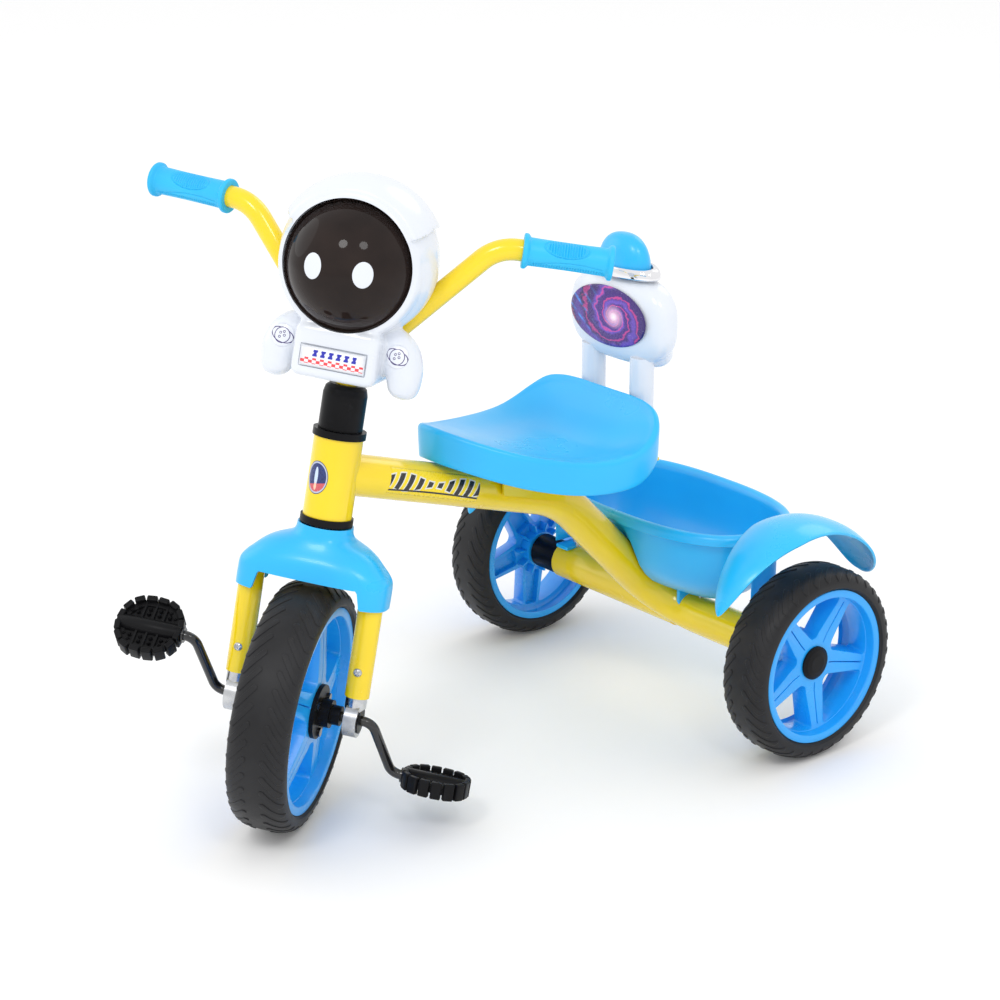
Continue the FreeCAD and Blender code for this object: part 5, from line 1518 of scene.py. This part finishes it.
printLook = {
    "label": {"wide": 58.0, "tall": 17.5, "share": 0.97, "y": -61.75, "up": 324.0},
    "galaxy": {"wide": 106.0, "tall": 59.0, "y": -80.3, "bow": 5.0, "up": 407.7},
    "badge": {"radius": 22.45, "heading": -78, "turn": 1.02, "tall": 30.0, "up": 211.5},
    "tube": {"middle": (0, -31.347, 280.455), "along": (0, 0.953191, -0.30237), "up": (0, 0.30237, 0.953191),
             "start": -86, "long": 108, "first": 6, "turn": 76, "radius": 19.42},
    "arm": {"aside": 52.0, "up": 334.5, "size": 20.0, "from": -0.12, "lift": 0.25, "missed": -43.0},
}


def makeStickers(look):
    label, galaxy, badge, tube, arm = (look[key] for key in ("label", "galaxy", "badge", "tube", "arm"))

    def onLabel(u, v):
        return (label["wide"] * (u - 0.5) * label["share"], label["y"],
                label["up"] + label["tall"] * (v - 0.5) * label["share"])

    sticker("label_print", onLabel, steered, "fork", "white_plastic", drawPlate, False, (12, 4))

    def onBackrest(u, v):
        bow = galaxy["bow"] * ((2 * u - 1) ** 2 + (2 * v - 1) ** 2) * 0.5
        return galaxy["wide"] * (u - 0.5), galaxy["y"] + bow, galaxy["up"] + galaxy["tall"] * (v - 0.5)

    sticker("backrest_galaxy", onBackrest, rearAxle, "frame", "printed_badge", drawGalaxy, True, (40, 26),
            ["backrest_badge"])

    def onHeadTube(u, v):
        turn = math.radians(badge["heading"]) + (u - 0.5) * badge["turn"]
        return (badge["radius"] * math.cos(turn), badge["radius"] * math.sin(turn),
                badge["up"] + badge["tall"] * (v - 0.5))

    headTube = placeFrom(joints["steer"]["pos_m"], (1, 0, 0), stemAxis)
    sticker("head_badge", onHeadTube, headTube, "frame", "printed_badge", drawBadge)
    middle, along, upward = (Vector(tube[key]) for key in ("middle", "along", "up"))

    def onTube(u, v):
        angle = math.radians(tube["first"] + tube["turn"] * (v - 0.5))
        outward = Vector((1, 0, 0)) * math.cos(angle) + upward * math.sin(angle)
        return middle + along * (tube["start"] + tube["long"] * u) + outward * tube["radius"]

    sticker("tube_marks", onTube, None, "frame", "printed_badge", drawStripes, False, (60, 16))
    shell = bpy.data.objects["helmet_shell"]
    forward = steered.to_3x3() @ Vector((0, 1, 0))
    for side, name in ((1, "left"), (-1, "right")):
        def onArm(u, v, side=side):
            x = side * arm["aside"] + arm["size"] * (u - 0.5)
            z = arm["up"] + arm["size"] * (v - 0.5)
            start = steered @ Vector((x * mm, arm["from"], z * mm))
            found, spot, normal, index = shell.ray_cast(start, forward)
            if not found:
                return (x, arm["missed"], z)
            return (steered.inverted() @ (spot + normal * arm["lift"] * mm)) / mm
        sticker(f"arm_print_{name}", onArm, steered, "fork", "white_plastic", drawPlanet, True, (18, 18))


makeStickers(printLook)


# screws

screwLook = {"radius": 3.9, "height": 2.2, "slot": 0.9, "slotHalf": 2.5, "aside": 56.3, "y": -27.5, "up": 46.3}


def makeScrew(name, look):
    radius, height = look["radius"], look["height"]
    head = turnAboutZ(name, [(-1.0, 0.5), (-1.0, radius), (0.4, radius), (1.3, radius * 0.85),
                             (height * 0.9, radius * 0.45), (height, 0.4)], None, 32)
    faceOutward(head)
    for a, b in ((look["slotHalf"], look["slot"] / 2), (look["slot"] / 2, look["slotHalf"])):
        cut(head, [softBox("bar", (-a, -b, height - 1.1), (a, b, height + 2), 0.1)])
    return head


def makeScrews(look):
    head = makeScrew("screwHead", look)
    axis, marks = steered.to_3x3() @ Vector((0, -1, 0)), []
    for side in (1, -1):
        marks.append((steered @ Vector((side * look["aside"] * mm, look["y"] * mm, look["up"] * mm)), axis))
    spots = spotsMesh("leg_screw_heads", marks)
    grow(spots, spotCopies, Copy=head, Size=1.0, Spin=1.2, Material=finished["zinc_steel"])
    drop(head)
    mount(spots, "fork", "zinc_steel", ["leg_screws"])


makeScrews(screwLook)


# mudguards

guardLook = {
    "round": 107.6, "crown": 7.5, "across": 183.0, "half": 33.0, "centre": (-2.5, 118.0), "front": 157.0,
    "rear": 20.0, "wall": 2.4, "steps": (72, 28), "strapHalf": 1.8,
    "strap": [(143, 121, 17), (143.5, 160, 17), (145, 198, 16), (150, 216, 15), (157, 224.5, 14)],
}


def guardShare(at):
    # width of the leaf: pointed in front, rounded behind
    if at < 0.40:
        return max(at / 0.40, 0.0001) ** 0.60
    return 1.0 if at < 0.70 else math.sqrt(max(1 - ((at - 0.70) / 0.30) ** 2.4, 0.0001))


def makeGuards(look):
    along, across = look["steps"]
    y0, z0 = look["centre"]
    for name, side in (("left", 1), ("right", -1)):
        points = []
        for row in range(along + 1):
            at = 0.5 - 0.5 * math.cos(math.pi * row / along)
            turn = math.radians(look["front"] + (look["rear"] - look["front"]) * at)
            wide = look["half"] * guardShare(at)
            for step in range(across + 1):
                b = 2 * step / across - 1
                lift = look["crown"] * (wide / look["half"]) ** 0.8 * (1 - abs(b) ** 2.3)
                r = look["round"] + lift
                x = look["across"] + wide * b
                points.append((side * x, y0 + r * math.cos(turn), z0 + r * math.sin(turn)))
        faces = ringFaces(along + 1, across + 1, wrapColumns=False)
        guard = makeObject(f"mudguard_leaf_{name}", points, faces, rearAxle)
        work = bmesh.new()
        work.from_mesh(guard.data)
        bmesh.ops.recalc_face_normals(work, faces=work.faces)
        if sum(face.normal.z * face.calc_area() for face in work.faces) < 0:
            bmesh.ops.reverse_faces(work, faces=work.faces)
        work.to_mesh(guard.data)
        work.free()
        modifier(guard, "SOLIDIFY", thickness=look["wall"] * mm, offset=-1.0)
        modifier(guard, "BEVEL", width=0.8 * mm, segments=2, limit_method="ANGLE", angle_limit=math.radians(50))
        settle(guard, 50)
        line = [(side * x, 0, z, look["strapHalf"], deep) for x, z, deep in look["strap"]]
        strap = limb("strap", line, rearAxle)
        foot = softBox("strapFoot", (side * 136 - 9, -15, 113), (side * 136 + 9, 15, 117), 1.2, rearAxle)
        piece = weld([guard, strap, foot], f"mudguard_leaf_{name}")
        mount(piece, "frame", "blue_plastic", [f"mudguard_{name}"])


makeGuards(guardLook)


# basket

tubLook = {
    "long": 141.0, "deep": 80.0, "centre": 10.0, "power": 2.55, "wall": 2.6, "steps": 160,
    "outer": [(0.0, 199.0), (0.6, 202.6), (2.4, 205.4), (5.2, 206.5), (8.2, 205.6), (10.4, 203.0)],
    "inner": [(11.4, 198.0), (12.6, 182), (16.0, 166), (21.0, 153), (28.5, 142), (38.5, 132.5), (50.0, 125.5),
              (61.0, 122.2)],
    "under": [(0.0, 196.4), (1.6, 195.4), (8.0, 195.0), (9.8, 180), (13.2, 165), (18.4, 151.5), (26.2, 140),
              (36.5, 130), (49.0, 122.5), (61.0, 119.4)],
    "leg": (-80.0, 176.9), "slope": (0.6988, -0.7153), "clear": 22.4, "humpWall": 2.4,
}


def tubRing(look, inset, up):
    loop, a, b = [], look["long"] - inset, look["deep"] - inset
    for step in range(look["steps"]):
        turn = fullTurn * step / look["steps"]
        c, s = math.cos(turn), math.sin(turn)
        power = 2 / look["power"]
        loop.append((a * bent(c, power), look["centre"] + b * bent(s, power), up))
    return loop


def tubSolid(look, name, rows):
    points = [p for inset, up in rows for p in tubRing(look, inset, up)]
    count = look["steps"]
    faces = ringFaces(len(rows), count)
    faces += [tuple(range(count)), tuple(range((len(rows) - 1) * count, len(rows) * count))]
    made = makeObject(name, points, faces)
    faceOutward(made)
    return made


def makeTub(look):
    # floor, inside and rim in one run, then the underside back up
    rows = list(reversed(look["under"])) + look["outer"] + look["inner"]
    tub = tubSolid(look, "basket_tub", rows)
    body = tubSolid(look, "tubBody", list(reversed(look["under"])) + [(11.0, 199.0)])
    y, z = look["leg"]
    ahead = Vector((0, *look["slope"]))
    place = placeFrom((Vector((0, y, z)) - ahead * 60) * mm, (1, 0, 0), ahead)
    outer, inner = look["clear"] + look["humpWall"], look["clear"]
    hump = turnAboutZ("hump", [(0, 0.0), (0, outer), (170, outer), (170, 0.0)], place, 64)
    clear = turnAboutZ("clear", [(-40, 0.0), (-40, inner), (190, inner), (190, 0.0)], place, 64)
    for tool in (hump, clear):
        faceOutward(tool)
    cut(hump, [body], "INTERSECT")
    cut(tub, [hump], "UNION")
    cut(tub, [clear])
    ribs = [softBox("rib", (x - 2, -18, 104), (x + 2, 18, 124), 0.6) for x in (-44, 44)]
    tub = weld([tub] + ribs, "basket_tub")
    tub.data.transform(rearAxle)
    sharpen(tub, 50)
    mount(tub, "frame", "blue_plastic", ["basket"])


makeTub(tubLook)


# floor, light and camera

studio = {
    "floor": (0.97, 0.97, 0.97), "sky": 1.01,
    "camera": (1.69603, -1.38631, 1.04641), "heading": 50.08, "pitch": 19.79, "roll": 0.11, "lens": 89.32,
    "aim": (0, 0, 0.3),
    "lights": {  # place, width and power of each
        "key": ((1.1, -2.3, 2.9), 0.8, 18.0), "second": ((2.5, -1.0, 2.9), 0.8, 13.0),
        "fill": ((-2.4, -1.4, 1.6), 2.2, 8.0), "rim": ((-0.6, 2.6, 2.4), 1.6, 8.0),
    },
}


def makeStudio(look):
    floor = makeObject("floor", [(-9000, -9000, 0), (9000, -9000, 0), (9000, 9000, 0), (-9000, 9000, 0)],
                       [(0, 1, 2, 3)], Matrix.Translation((0, 0, -0.0005)))
    material, tree, shader = newMaterial("floor_paper")
    grain = speckle(tree, 60.0, 5.0)
    tree.links.new(mixColour(tree, grain.outputs["Fac"], look["floor"], [c * 0.985 for c in look["floor"]]),
                   shader.inputs["Base Color"])
    shader.inputs["Roughness"].default_value = 0.9
    shader.inputs["Specular IOR Level"].default_value = 0.1
    floor.data.materials.append(material)

    world = bpy.data.worlds.new("studio")
    bpy.context.scene.world = world
    world.use_nodes = True
    world.node_tree.nodes["Background"].inputs["Color"].default_value = (1, 1, 1, 1)
    world.node_tree.nodes["Background"].inputs["Strength"].default_value = look["sky"]

    middle = Vector(look["aim"])
    for name, (spot, size, power) in look["lights"].items():
        light = bpy.data.lights.new(name, "AREA")
        light.shape, light.size, light.energy = "DISK", size, power
        lamp = bpy.data.objects.new(name, light)
        bpy.context.scene.collection.objects.link(lamp)
        lamp.location = spot
        lamp.rotation_euler = (middle - Vector(spot)).to_track_quat("-Z", "Y").to_euler()

    camera = bpy.data.cameras.new("camera")
    camera.lens, camera.sensor_width = look["lens"], 36.0
    camera.clip_start, camera.clip_end = 0.05, 60.0
    eye = bpy.data.objects.new("camera", camera)
    bpy.context.scene.collection.objects.link(eye)
    eye.location = look["camera"]
    turns = (90 - look["pitch"], look["roll"], look["heading"])
    eye.rotation_euler = [math.radians(degrees) for degrees in turns]
    bpy.context.scene.camera = eye
    bpy.context.scene.view_settings.view_transform = "Standard"


makeStudio(studio)
print("studio ready")
